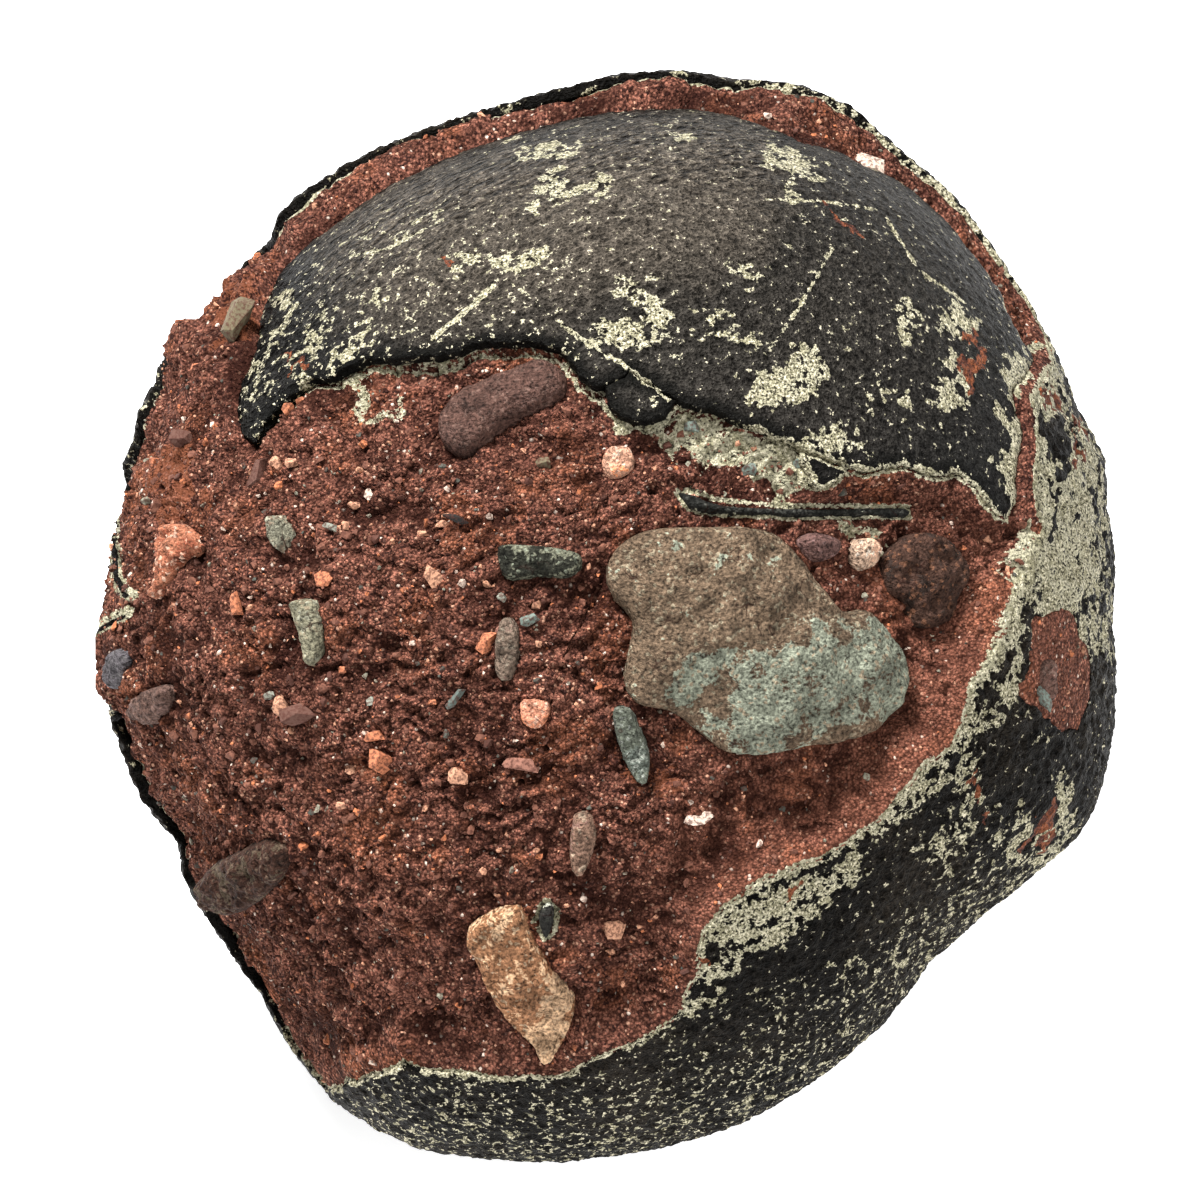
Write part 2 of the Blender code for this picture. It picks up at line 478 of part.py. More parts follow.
def flat_spot_loop():
    """The edge of the flat spot, as directions round straight down."""
    down = np.array([0.0, -math.cos(FACE_TILT), -math.sin(FACE_TILT)])
    side = np.array([1.0, 0.0, 0.0])
    found = []
    for turn in np.linspace(0, 2 * math.pi, SPOT_SIDES, endpoint=False):
        sideways = side * math.cos(turn) + np.cross(down, side) * math.sin(turn)
        ways = np.cos(SPOT_LEANS)[:, None] * down + np.sin(SPOT_LEANS)[:, None] * sideways
        touching = body_radius(ways) * np.cos(SPOT_LEANS) > MIDDLE[2] - TOUCHING
        found.append(ways[np.nonzero(touching)[0].max()])
    return np.array(found)


def thinned(free, loops, step):
    """Free directions that keep clear of the loops, so that no triangle is a sliver."""
    for loop in loops:
        free = free[edge_distance(free, loop) > step]
    return free


def seat_loop():
    """The edge of the bed that the sunken shell lies in; its first points follow the crest.

    Along the crest it runs a gap outside the shell; along the lower edge it is set back under the shell."""
    outline = loop_of(CREST + BROW, sunken_radius)
    distance = np.where(np.arange(len(outline)) < len(CREST), SEAT_GAP, -OVERHANG)
    return moved_out(outline, distance)


def step_between(upper, lower):
    """The wall from a clockwise loop of the face to the same loop on the level inside it."""
    faces = []
    for a, b, c, d in zip(upper, np.roll(upper, -1), lower, np.roll(lower, -1)):
        if a != c:
            faces.append((b, a, c))
        if b != d:
            faces.append((b, c, d))
    return faces


def matrix_net(free, loops, sockets):
    """The filling's directions and triangles: the loops' points first, then the sockets', then the free ones."""
    free = thinned(thinned(free, loops, LOOP_CLEAR), sockets, SOCKET_CLEAR)
    for socket in sockets:
        free = free[~inside(to_plane(free), to_plane(socket))]
    return closed_behind(*net(free, [*loops, *sockets]))


def matrix_radii(directions, opening, seat, ring):
    """The filling's radii: below the sunken shell's lower edge the face drops away under the shell, and at the
    two tips it meets the shell's bed.  Returns the bed's radii too."""
    radius = stone_radius(directions, opening)
    bed = sunken_radius(directions) - SHELL - GAP
    from_brow = edge_distance(directions, seat[len(CREST) - 1:])
    from_crest = edge_distance(directions, seat[:len(CREST)])
    below = from_brow < np.minimum(from_crest - LEDGE_MARGIN, LEDGE_REACH)
    below[ring[len(CREST):]] = True
    radius = np.where(below, np.minimum(radius, bed - LEDGE_DROP), radius)
    tips = ring[[0, len(CREST) - 1]]
    radius[tips] = bed[tips]
    return radius, bed


def build_matrix(free, opening, window, flat_spot, stones):
    """The stone filling: the broken face, the bed of the sunken shell and a socket for each stone."""
    seat = seat_loop()
    sockets = [stone.socket_rim for stone in stones]
    directions, triangles = matrix_net(free, [opening, window, flat_spot, seat], sockets)
    first = len(opening) + len(window) + len(flat_spot)
    ring = np.arange(first, first + len(seat))
    radius, bed = matrix_radii(directions, opening, seat, ring)

    # Inside its loop the bed has points of its own; the loop's own points are doubled to make the step.
    in_seat = inside(middles(directions, triangles), to_plane(seat))
    bedded = np.setdiff1d(np.unique(triangles[in_seat]), ring)
    radius[bedded] = bed[bedded]
    stepped = np.setdiff1d(ring, ring[[0, len(CREST) - 1]])
    lower = np.arange(len(directions))
    lower[stepped] = len(directions) + np.arange(len(stepped))
    points = [directions, directions[stepped]]
    radii = [radius, bed[stepped]]
    outer = triangles[~in_seat]
    for socket in sockets:
        outer = outer[~inside(middles(directions, outer), to_plane(socket))]
    faces = [*outer, *lower[triangles[in_seat]], *step_between(ring, lower[ring])]

    # Each stone's socket: the stone's own underside, a gap further in and a gap wider.
    first = ring[-1] + 1
    count = len(directions) + len(stepped)
    for stone in stones:
        rim = np.arange(first, first + len(stone.rim))
        floor = np.vstack([stone.socket_rim, stone.directions[len(stone.rim):]])
        points.append(floor)
        radii.append(stone.bottom - GAP)
        faces += [*(stone.triangles + count), *step_between(rim, count + np.arange(len(rim)))]
        first += len(rim)
        count += len(floor)
    add_object("matrix", np.vstack(points), np.concatenate(radii), faces, material("matrix", MATRIX_LOOK))


def build_outer_shell(free, opening, window, flat_spot):
    """The shell round the sides and the back, with its big opening and its window."""
    loops = [opening, window, flat_spot]
    directions, triangles = closed_behind(*net(thinned(free, loops, LOOP_CLEAR), loops))
    where = middles(directions, triangles)
    kept = triangles[~inside(where, to_plane(opening)) & ~inside(where, to_plane(window))]
    top = body_radius(directions)
    slab("outer_shell", directions, kept, top, top - SHELL, material("outer_shell", SHELL_LOOK))


def build_sunken_piece(name, outline, free):
    """One piece of the sunken shell: an even thickness inside an outline."""
    rim = loop_of(outline, sunken_radius)
    clear = thinned(free, [rim], LOOP_CLEAR)
    clear = clear[inside(to_plane(clear), to_plane(rim))]
    directions, triangles = net(clear, [rim])
    triangles = triangles[inside(middles(directions, triangles), to_plane(rim))]
    top = sunken_radius(directions)
    slab(name, directions, triangles, top, top - SHELL, material(name, SUNKEN_LOOK))


def main():
    for old in list(bpy.data.objects):
        bpy.data.objects.remove(old)
    opening = opening_loop()
    window = loop_of(WINDOW, body_radius)
    flat_spot = flat_spot_loop()
    free = scatter()
    stones = [Stone(row, lambda directions: face_radius(directions, opening)) for row in STONES]
    build_matrix(free, opening, window, flat_spot, stones)
    build_outer_shell(free, opening, window, flat_spot)
    build_sunken_piece("sunken_shell", SUNKEN_OUTLINE, free)
    build_sunken_piece("sunken_shell_right_flake", RIGHT_FLAKE, free)
    build_sunken_piece("sunken_shell_left_flake", LEFT_FLAKE, free)
    for stone in stones:
        stone.build()


main()
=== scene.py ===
"""Metres, +Z up.

The object's own surfaces are worked out again here, finer than in the model, in the egg's face frame: its
middle is the egg's middle, x runs to the right along the broken face, y runs up the face, and w points
straight out of it, all in millimetres.  Each surface is a radius for every direction from the egg's middle.
"""

import math

import bmesh
import bpy
import numpy as np
from mathutils import Vector, kdtree, noise
from mathutils.geometry import delaunay_2d_cdt
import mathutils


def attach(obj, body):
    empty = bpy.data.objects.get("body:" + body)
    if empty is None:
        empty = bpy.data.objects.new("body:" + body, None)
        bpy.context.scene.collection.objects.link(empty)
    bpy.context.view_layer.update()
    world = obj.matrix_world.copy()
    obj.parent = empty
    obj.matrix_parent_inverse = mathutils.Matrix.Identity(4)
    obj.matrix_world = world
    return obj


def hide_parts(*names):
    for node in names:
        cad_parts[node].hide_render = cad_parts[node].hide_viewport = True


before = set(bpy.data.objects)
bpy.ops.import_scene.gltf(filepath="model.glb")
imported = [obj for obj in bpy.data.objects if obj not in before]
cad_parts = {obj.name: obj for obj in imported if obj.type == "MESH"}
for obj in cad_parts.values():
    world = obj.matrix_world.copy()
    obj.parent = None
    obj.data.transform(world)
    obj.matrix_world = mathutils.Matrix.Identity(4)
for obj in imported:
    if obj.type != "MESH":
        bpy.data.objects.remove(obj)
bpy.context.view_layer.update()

# ------------------------------------------------------------------ driving dimensions, in millimetres
MM = 0.001
MIDDLE = np.array([4.0, 4.0, 76.3])  # the egg's middle, above the middle of the flat spot
FACE_TILT = math.radians(54)  # how far the face's normal rises above the horizon
FRONT_DEPTH = 74.0  # half the egg's depth, from the girth out through the face
BACK_DEPTH = 78.0  # half the egg's depth, from the girth to the back
SHELL = 2.2  # thickness of the eggshell
GAP = 0.35  # clearance between neighbouring pieces
EDGE_SLOPE = 7.0  # width of the slope from the opening's edge down to the broken face
GIRTH_BLEND = 0.3  # how far from the girth, as a share of the radius, the girth's small bumps fade out
SMOOTH_SPREAD = math.radians(9)  # how widely the girth is averaged for the smooth body
LUMP = 0.7  # height of the broad lumps on the body
LUMP_SIZE = 26.0
RELIEF = 1.1  # height of the lumps and pits on the broken face
RELIEF_SIZE = 13.0
MEAN_RADIUS = 77.0  # turns a distance along the surface into an angle
LEFT_REACH = 76.3  # how far left of the egg's middle the stone face reaches, at most


# The girth: the egg's outline round the face, clockwise from the top, as (x, y).
GIRTH = [
    (0, 81.5), (10, 82.5), (20, 81), (30, 80.2), (38, 76.6), (42.8, 72), (47, 68.5), (53, 63), (56, 59.5),
    (60, 53.5), (64, 47.5), (67, 42), (71, 32), (75.3, 24), (75.6, 17), (76.8, 9), (76.4, 0), (76.7, -16),
    (74, -28), (71, -33), (64, -39), (57, -44.5), (49, -51.5), (42, -61), (37.5, -65), (27, -72.5),
    (21, -75.8), (13, -78.5), (0, -81), (-6, -81.8), (-14, -81.5), (-27, -80), (-34, -77), (-40.8, -72.5),
    (-47, -65), (-51.5, -57), (-57, -49), (-63.5, -39), (-64, -34), (-69.5, -27.5), (-73, -19), (-76.5, -10),
    (-76.8, -3), (-74.8, 4), (-73.3, 15), (-71.5, 20), (-70.5, 30), (-66, 39), (-64.6, 45), (-61, 44.8),
    (-56.5, 52), (-50.5, 56.5), (-49, 61), (-45.5, 64), (-38.5, 68.5), (-27, 73.5), (-15, 77.3), (-5, 80),
]
# Stretches of the girth where the shell is gone and the stone filling is the outline, as the bearing of their
# middle and their half width, in degrees.
BARE_GIRTH = [(142, 9), (175, 14)]
BARE_FADE = 4.0

# The edge of the outer shell's big opening, clockwise from the top.  Two numbers are a point (x, y) on the
# face's side.  A third number puts the point that many degrees behind the girth, at the bearing of (x, y).
OPENING = [
    (0, 81.5, 0), (10, 82.5, 0), (20, 81, 0), (30, 80, 0), (36, 77.5, 0), (42, 72, 0), (47, 68.5, 0),
    (53, 63, 0), (58, 56.5, 0), (62, 50.5, 0), (65.6, 44.6, 0), (67.3, 40.3), (67.5, 37.5), (65.6, 35.3),
    (64.2, 33), (65, 29), (65, 24), (64.5, 19), (65.2, 15.5), (66.4, 13), (64.4, 9), (64.2, 6), (62, 2.6),
    (60, -1), (59.5, -5), (55.6, -9.5), (53.9, -14.5), (51.7, -19.5), (47.3, -22.3), (44, -26.2),
    (41.7, -29.5), (36.7, -32.9), (32.3, -35.6), (26.7, -37.8), (21.2, -40), (17.3, -43.4), (14, -48.9),
    (14.3, -53.4), (11.8, -56.2), (12, -58.9), (8.4, -61.2), (4.6, -63.7), (-0.4, -65.6), (-6.5, -68.9),
    (-10, -68.9), (-15, -69.2), (-22.7, -68.1), (-26, -68.6), (-29.9, -67.4), (-34.9, -69.5),
    (-39, -70.5), (-42, -71, 0), (-47, -65, 0), (-51.5, -57, 0), (-57, -49, 0), (-61, -43, 0), (-64, -36, 1),
    (-68, -29, 1), (-72, -22, 0), (-75, -16, 2), (-76.4, -12, 12), (-76.8, -5, 15), (-75, 4, 15),
    (-74, 10, 15), (-73, 16, 15), (-71.5, 21, 12), (-70.8, 26, 4), (-70.5, 31, 1), (-68.8, 35, 4),
    (-66, 39.5, 13), (-62, 45, 15), (-58, 50, 15), (-53, 54.5, 13), (-50.5, 57.5, 5), (-48.5, 61, 0),
    (-42, 66, 0), (-36, 69.7, 0), (-27, 73.5, 0), (-20, 76, 0), (-10, 78.8, 0),
]
# The small window in the outer shell's right side, clockwise from its top.
WINDOW = [
    (64.8, 0.6), (67.2, 0.9), (68.6, 1.7), (70.6, 0.3), (71.3, -3.4), (72.9, -4.4), (73.1, -11.5),
    (71.3, -16.4), (68.6, -16.8), (66, -14.6), (62.5, -12), (61.9, -9.8), (64.3, -8), (63.6, -3.6),
]

# The sunken shell, clockwise: its upper edge from the left tip to the right tip, then its lower edge back.
CREST = [
    (-54.4, 27.5), (-55, 30.5), (-54.5, 34), (-53, 38), (-52, 42), (-51.6, 45), (-50.3, 48.5), (-48.5, 52),
    (-46, 54.8), (-42, 58), (-38, 61), (-33, 64.5), (-28, 67), (-23, 69.5), (-18, 71.5), (-12, 73.2),
    (-6, 74.9), (0, 76.3), (7, 77.3), (13.5, 77.3), (20, 75.4), (25, 73.5), (30, 71.2), (35, 70.2), (39, 68),
    (43.4, 66.2), (46.7, 63.9), (50, 61), (52.8, 58.8), (54.8, 55.4), (57.3, 52.3), (59.5, 48.9),
    (60.8, 45.6), (62.6, 42), (64.4, 39), (63.4, 36.8), (61.2, 34.4), (61.6, 31), (62.6, 28), (62.5, 24.5),
    (61.6, 21), (61.6, 17.5),
]
LOWER_RIGHT = [(60, 14.8), (56.7, 18), (53.6, 21.6), (48.9, 21.6), (45, 22.6), (40, 22), (37.3, 22.3)]
LOWER_MIDDLE = [(26.7, 26.7), (23.4, 28.1), (20, 29.5), (15.6, 31.2), (12, 32.4)]
LOWER_LEFT = [
    (-1.2, 34.4), (-3.6, 36.3), (-4.6, 38.4), (-6, 40.5), (-10, 41.2), (-15, 41.4), (-20, 40.9), (-25, 39.5),
    (-30, 39), (-35.5, 38.8), (-40.5, 36.4), (-43.8, 36), (-46, 34.3), (-48.3, 32), (-50.5, 30),
    (-52.8, 26.2),
]
RIGHT_FLAKE = [(29.5, 25), (36.6, 21.8), (34.5, 20.2), (32.3, 19.2), (31.2, 20.1), (30.2, 22.8)]
LEFT_FLAKE = [(0.3, 34.7), (3.95, 36.5), (6.1, 35), (8.15, 33.6), (10.8, 32.5), (9.6, 30.6), (7.5, 29.5),
              (4.5, 29.2), (2.2, 30.4), (0.9, 32.2)]
RIGHT_CRACK = [(33.2, 24.1), (29.2, 26)]  # the sunken shell's side of the crack along each flake
LEFT_CRACK = [(10.9, 32.9), (8.3, 33.9), (6.2, 35.4), (4, 36.9), (0.4, 35)]
SUNKEN_OUTLINE = CREST + LOWER_RIGHT + RIGHT_CRACK + LOWER_MIDDLE + LEFT_CRACK + LOWER_LEFT
# The lower edge of the sunken shell and its flakes together, from the right tip to the left tip.
BROW = [
    *LOWER_RIGHT, (34.2, 20.4), (31.6, 20.4), (29.4, 25), *LOWER_MIDDLE, (9.4, 30.6), (6, 29.4), (2.4, 30.5),
    (0.6, 33.4), *LOWER_LEFT,
]

# How deep the sunken shell's outside lies below the whole egg's surface, as (x, y, depth).
SUNKEN_DEPTHS = [
    (-52, 32, 5.6), (-50, 48, 7.0), (-40, 58, 6.0), (-30, 48, 5.2), (-20, 70, 5.6), (0, 76, 5.4),
    (0, 50, 4.4), (20, 75, 5.6), (38, 68, 4.6), (30, 45, 4.0), (5, 34, 5.0), (50, 61, 3.2), (57, 52, 3.0),
    (63, 41, 1.8), (63, 33, 1.0), (63, 25, 1.0), (60, 16, 1.8), (50, 35, 3.0), (45, 24, 4.4), (30, 26, 4.8),
]
# How deep the broken stone face lies below the whole egg's surface, as (x, y, depth).
FACE_DEPTHS = [
    (-74, 8, 2.6), (-70, 28, 2.6), (-60, 45, 2.7), (-50, 56, 3.0), (-75, -12, 2.7), (-66, -32, 2.8),
    (-55, -50, 2.8), (-42, -68, 2.8), (-62, 32, 3.6), (-58, 24, 5.2), (-63, 10, 4.6), (-50, 12, 5.4),
    (-52, 0, 7.2), (-61, -12, 4.4), (-50, -30, 6.0), (-36, -50, 6.4), (-42, 30, 8.6), (-30, 33, 9.2),
    (-32, 18, 8.0), (-32, 2, 9.6), (-30, -20, 9.0), (-12, 36, 9.2), (-12, 22, 9.4), (-10, 2, 10.8),
    (-10, -18, 10.0), (-14, -40, 8.0), (-10, -60, 4.6), (10, 25, 8.8), (20, 21, 8.4), (12, 0, 11.0),
    (12, -20, 9.6), (14, -38, 5.8), (0, -50, 6.0), (34, 12, 9.6), (36, -8, 9.4), (34, -26, 5.6),
    (48, 14, 8.0), (50, 0, 7.6), (46, -14, 6.4), (58, 8, 4.6), (40, 19, 8.2), (63, 25, 3.6), (62, 48, 3.8),
    (50, 64, 4.4), (36, 72, 5.0), (15, 79, 4.8), (-10, 76, 4.8), (-30, 70, 5.0), (-44, 60, 5.2),
]
DEPTH_SPREAD = 8.5

# The stones set in the broken face: name, outline, how far the rim stands out, how far the middle bulges
# out beyond it, and how deep the rim is buried.
STONES = [
    ("large_pebble", [
        (0.3, 6), (1.2, 9.6), (4.5, 12.4), (9, 13.5), (15, 13.6), (20, 13.6), (25, 12.6), (28, 10),
        (31.5, 5.6), (35, 1.2), (39, 1.2), (42, -1.5), (44.6, -6), (44.4, -11), (42, -15), (37, -17.8),
        (30, -19.2), (24, -20.2), (18, -19.8), (14.5, -17.4), (10, -14), (5, -12.8), (3, -9.6), (3.6, -5),
        (4.2, -0.5),
        (1.6, 2.8)],
     1.0, 3.4, 2.0),
    ("brown_pebble", [
        (-24.6, 28.6), (-23.8, 31), (-20.5, 33.8), (-15, 36), (-10.5, 38), (-7.4, 37.6), (-5.4, 35.6),
        (-5.8, 33), (-9, 31), (-13, 29.4), (-16.4, 27), (-19, 24.8), (-21.6, 24.2), (-24, 26)],
     0.8, 2.6, 1.8),
    ("green_clast", [(-15.6, 10.6), (-10, 10.8), (-4, 9.8), (-3.4, 7.6), (-5.4, 6), (-10, 6.2), (-14.6, 6)],
     0.8, 1.0, 1.8),
    ("slate_clast", [
        (1.2, -14), (3.8, -13.4), (5.4, -16.5), (6.8, -20.5), (6.4, -24), (4.6, -24), (2.6, -20)],
     0.8, 0.8, 1.8),
    ("tan_slab", [
        (-13, -42.6), (-10.4, -47.6), (-7.8, -52), (-4.4, -57), (-5.2, -61), (-7.2, -64.6), (-9, -65.6),
        (-11, -62.4), (-15.4, -57.6), (-18.8, -51), (-20.2, -46.2)],
     1.2, 0.8, 1.8),
    ("dark_cobble", [
        (-59.6, -40), (-58.6, -37), (-54, -34.6), (-50, -33), (-47.2, -34.4), (-47.6, -38), (-51, -42),
        (-56, -44.2)],
     0.6, 2.0, 1.6),
    ("granite_clast", [
        (-67.7, 3.8), (-66.6, 7.2), (-66.2, 11), (-64.7, 14), (-62.1, 13.6), (-60.2, 11), (-61.7, 9.3),
        (-63.6, 8), (-64.7, 5.7), (-67, 2.9)],
     0.6, 0.7, 1.6),
    ("pale_clast", [(-46.6, 2.2), (-43.2, 2.6), (-42.2, -1), (-42.8, -6.4), (-44.4, -6.8), (-45.4, -2.6)],
     0.5, 0.5, 1.8),
    ("brown_wedge", [(-70.8, -13.2), (-69, -11), (-65.6, -10.2), (-65.4, -13), (-67, -15.8), (-69.4, -15.4)],
     0.4, 0.8, 1.4),
    ("grey_rim_cobble", [(-74, -5), (-71.6, -5.2), (-71.8, -8.4), (-73, -10.8), (-74.4, -8.6)],
     0.2, 0.4, 1.2),
    ("dark_right_cobble", [
        (41.6, 8), (44.6, 12), (49, 12.6), (53.4, 9), (53.4, 4), (51, -0.8), (46.4, -1.2), (45, 2.4),
        (42.2, 4)],
     0.6, 1.8, 1.8),
    ("purple_pebble", [(28.4, 11.6), (31.4, 12.8), (35, 11.4), (34.4, 9.2), (31.4, 8.2), (29.6, 9.4)],
     0.7, 1.2, 1.6),
    ("pink_pebble", [(36.6, 9.6), (37.2, 11.6), (39.8, 11.8), (41, 10), (40, 7.6), (37.8, 7.4)],
     0.6, 1.0, 1.6),
    ("rose_clast", [(-12.4, -12.2), (-8.4, -12), (-8, -14.4), (-9.6, -16.4), (-11.8, -15.6)],
     0.8, 0.9, 1.6),
    ("grey_clast", [(-50, 14.6), (-47.6, 15.4), (-46.6, 12.6), (-47.8, 10), (-49.6, 11)],
     0.5, 0.8, 1.6),
    ("brown_oblong", [(-4.6, -29.8), (-1.8, -29.4), (-1.2, -33), (-2.8, -37.6), (-5, -37)],
     0.6, 0.7, 1.6),
    ("grey_oblong", [(-15.6, -0.6), (-13.2, -0.6), (-12.4, -4.8), (-13.8, -9.2), (-16.2, -8)],
     0.6, 0.7, 1.6),
    ("orange_granule", [(-0.4, 23.4), (1.2, 25.4), (3.8, 25.2), (4.6, 23), (3.2, 21), (0.8, 20.8)],
     0.7, 0.9, 1.6),
    ("window_pebble", [(65.2, -6.6), (67, -6.2), (67.2, -9.6), (66.6, -12.6), (65, -10.6)],
     0.3, 0.5, 1.2),
    ("shell_sliver", [
        (11.2, 18.6), (13.2, 18.4), (16, 17.2), (20, 16.6), (26, 16.4), (32, 16.3), (38, 16.4), (44.6, 16.4),
        (45, 15), (40, 15.2), (34, 15.2), (28, 15.1), (22, 15.4), (16, 15.8), (12.8, 16.4)],
     0.3, 0.1, 2.2),
    ("shell_chip", [(-9.8, -44.6), (-8.6, -42.6), (-7.6, -43.6), (-7.8, -46.4), (-8.8, -47.2)],
     0.7, 0.3, 1.6),
]

SUNKEN_PIECES = [
    ("sunken_shell", SUNKEN_OUTLINE),
    ("sunken_shell_right_flake", RIGHT_FLAKE),
    ("sunken_shell_left_flake", LEFT_FLAKE),
]

# ------------------------------------------------------------------ the looks' dimensions, in millimetres
GIRTH_SAMPLES = 720  # bearings at which the girth is worked out
TINY = 1e-3  # keeps a divisor away from nothing
HAIR = 1e-9  # the same where the numbers are finer
FIRST_GUESS = 30.0  # a depth to start from when a surface is looked up at (x, y), and rounds enough to settle
ROUNDS = 24
LEAST_DEPTH = 3.0
CLEAR = 0.6  # how near a free point of a net may lie to an edge, in steps of the net
STONE_CLEAR = 0.5
CURVE_PIECES = 4  # sides for each side of a stone's outline
STROKE_FULL = 0.3  # the share of a stroke's, and of a rind's, width that it covers in full
RIND_FULL = 0.5
EDGE_STEP = 0.55  # length of the small sides of a broken edge
EDGE_WANDER = [(5.0, 0.7), (1.6, 0.4), (0.8, 0.2)]  # size and reach of a broken edge's bends
PATCH_WANDER = [(6.0, 3.2), (2.4, 1.8), (1.0, 0.8)]  # size and reach of the bends in a mark's outline
NEAR_STEP = 0.25  # how closely a line is sampled to measure distances from it
WALL_ROWS = 4  # rows of facets down the shell's broken edge
WALL_ROUGH = 0.45  # depth and size of the bumps on it
WALL_BUMP = 1.3
EDGE_DROP = 0.1  # how far the outer shell's surface rounds off at its edge, and over what distance
EDGE_ROUND = 0.4
BROW_DROP = 0.2  # the same for the sunken shell
BROW_ROUND = 0.5
DARK_EDGE_WIDTH = 2.2  # width of the strip along the sunken shell's lower edge that is painted near black, partly the shell's own broken edge and partly painted shade
OUTER_RELIEF = 0.6  # height of the granules on the outer and the sunken shell, and their size
SUNKEN_RELIEF = 0.24
SHELL_GRAIN = 1.7
GRANULE_SINK = 0.6  # how far the granules lie below the surface, as a share of their height; none passes it
OUTER_WALL_DARK_AND_SHADE = 0.8  # how dark the broken edges are painted, partly their own black and partly painted shade
SUNKEN_WALL_DARK_AND_SHADE = 1.0
TONE_SIZE = 20.0  # size of the outer shell's broad changes of tone, and how far they lean to the warm side
TONE_LEAN = 0.4
# Size of the facets of each surface: stone face, sunken shell, outer shell, its back, hidden sides, stones.
MATRIX_STEP = 0.52
PLATE_STEP = 0.52
SHELL_STEP = 0.6
BACK_STEP = 1.25
HIDDEN_STEP = 4.0
STONE_STEP = 0.55
SMALL_STONE_STEP = 0.4
STONE_THINNING = 4  # a stone's hidden side has one point for so many of its top
FIRST_TRIANGLE = [(0.0, 0.1, 1.0), (0.1, -0.1, 1.0), (-0.1, -0.1, 1.0)]  # the matrix's net starts from it
FRONT_REACH = -0.25  # w where the outer shell's fine facets end, and how soon its marks fade in
FRONT_FADE = 0.3
MARKS_REACH = -0.3  # w of the direction where the stone face's marks end
SHOWN_MARGIN = 1.5  # how far the stone's fine facets run on beyond what can be seen
FREE_DEPTH = 3.0  # depth of the broken face below the egg's surface at which its relief is full
LAP = 0.6  # how far the stone face runs on over the shell's edge, to close the joint
WINDOW_DEPTH = 0.4
BEDDING = math.radians(14)  # how far the ledges rise to the right
DRAWN_OUT = 0.38  # how much slower the ledges change along the bedding than across it
LEDGE = 1.3  # height and spacing of the ledges
LEDGE_SIZE = 7.0
LEDGE_BEND = 1.6  # how far the ledges wander, in spacings, and the size of their bends
LEDGE_BEND_SIZE = 9.0
LEDGE_CONTRAST = 1.5  # how sharply ledges set in where the face has them, and how much of it has them
LEDGE_COVER = 0.6
CRUMB = 1.6  # height, size and mean of the rounded lumps and the creases between them
CRUMB_SIZE = 4.5
CRUMB_MEAN = 0.4
GRIT = 0.42  # height and size of the grit
GRIT_SIZE = 1.6
FINE_OCTAVES = 4  # of the grit and of the stones' relief
PIT = 0.6  # depth and size of the pits, and the noise at which they start and are full
PIT_SIZE = 3.2
PIT_START = 0.3
PIT_FULL = 0.5
HOLLOW_SHADE_DEPTH = 1.5  # depth in the relief at which the painted shade in its hollows is full
BROW_REACH = 3.0  # how far below the sunken shell's lower edge the face is kept down, and its rise over that
BROW_RISE = 1.6
BROW_RIND = 0.4  # width and place of the pale rind on the face below the sunken shell's edge
BROW_RIND_AWAY = 0.6
FLUSH_RELIEF = 0.3  # the share of the relief that stays where the face is flush with the sunken shell
RIM_SINK = 0.6  # how far a stone's rim lies below the face round it
BED_SLOPE = 1.5  # width of the slope at the rim of a stone's bed
LEAST_HALF_WIDTH = 0.5  # of a stone, for the rounding of its top
RIPPLE_TURN = math.radians(28)  # bearing of the sunken shell's ripples, and their length over their width
RIPPLE_LENGTH = 3.5
# The bedded grains: how many shapes, of how many corners, within what share of the radius.
GRAIN_SEED = 5
GRAIN_SHAPES = 14
GRAIN_CORNERS = 14
CORNER_RANGE = (0.75, 1.0)
GRAIN_STEP = 1.5  # distance between grains, and how far each may be off, as a share of it
GRAIN_SCATTER = 0.4
GRAIN_LEAST = 0.26  # the smallest and the largest grain's radius, and how fast larger ones get rare
GRAIN_MOST = 1.0
GRAIN_POWER = 2.8
GRAIN_MARGINS = {"edge": -1.2, "sunken": 1.6, "stone": 0.6}  # how far outside each outline their limit lies
TONE_RANGE = (0.75, 1.2)  # factors on a grain's tone, and on its size along each axis
STRETCH_RANGE = (0.6, 1.15)
BEDDING_RANGE = (-0.5, 0.2)  # how far a grain's middle stands out of the face, as a share of its radius
CLAST_HALF = 0.62  # half a listed stone's length, as a share of it, as its corners lie inside its box
CLAST_LIFT = 0.12  # how far its middle stands out of the face, as a share of its width
# Where each relief's noise starts, so that no two are alike.
LUMP_SEED = 3.0
RELIEF_SEEDS = (7.0, 11.0)
LEDGE_SEEDS = (17.0, 57.0)
WALL_SEEDS = (20.0, 9.0)  # of the first row, and the distance from row to row
GRIT_SEED = 23.0
GRANULE_SEED = 31.0
PIT_SEED = 41.0
STONE_SEED = 51.0
TONE_SEED = 61.0
CRUMB_SEEDS = (71.0, 77.0)
ROUGH_FALL = 0.8  # how much flatter each finer octave of a rough noise is, and how much finer
ROUGH_STEP = 2.1

# ------------------------------------------------------------------ finishes
# Roughness, and how much of the usual gloss.
MATRIX_SHEEN = (0.92, 0.05)
OUTER_SHEEN = (0.5, 0.03)
SUNKEN_SHEEN = (0.45, 0.03)
STONE_GLOSS = 0.1
GRAIN_SHEEN = (0.8, 0.15)
FLOOR_SHEEN = (0.9, 0.25)
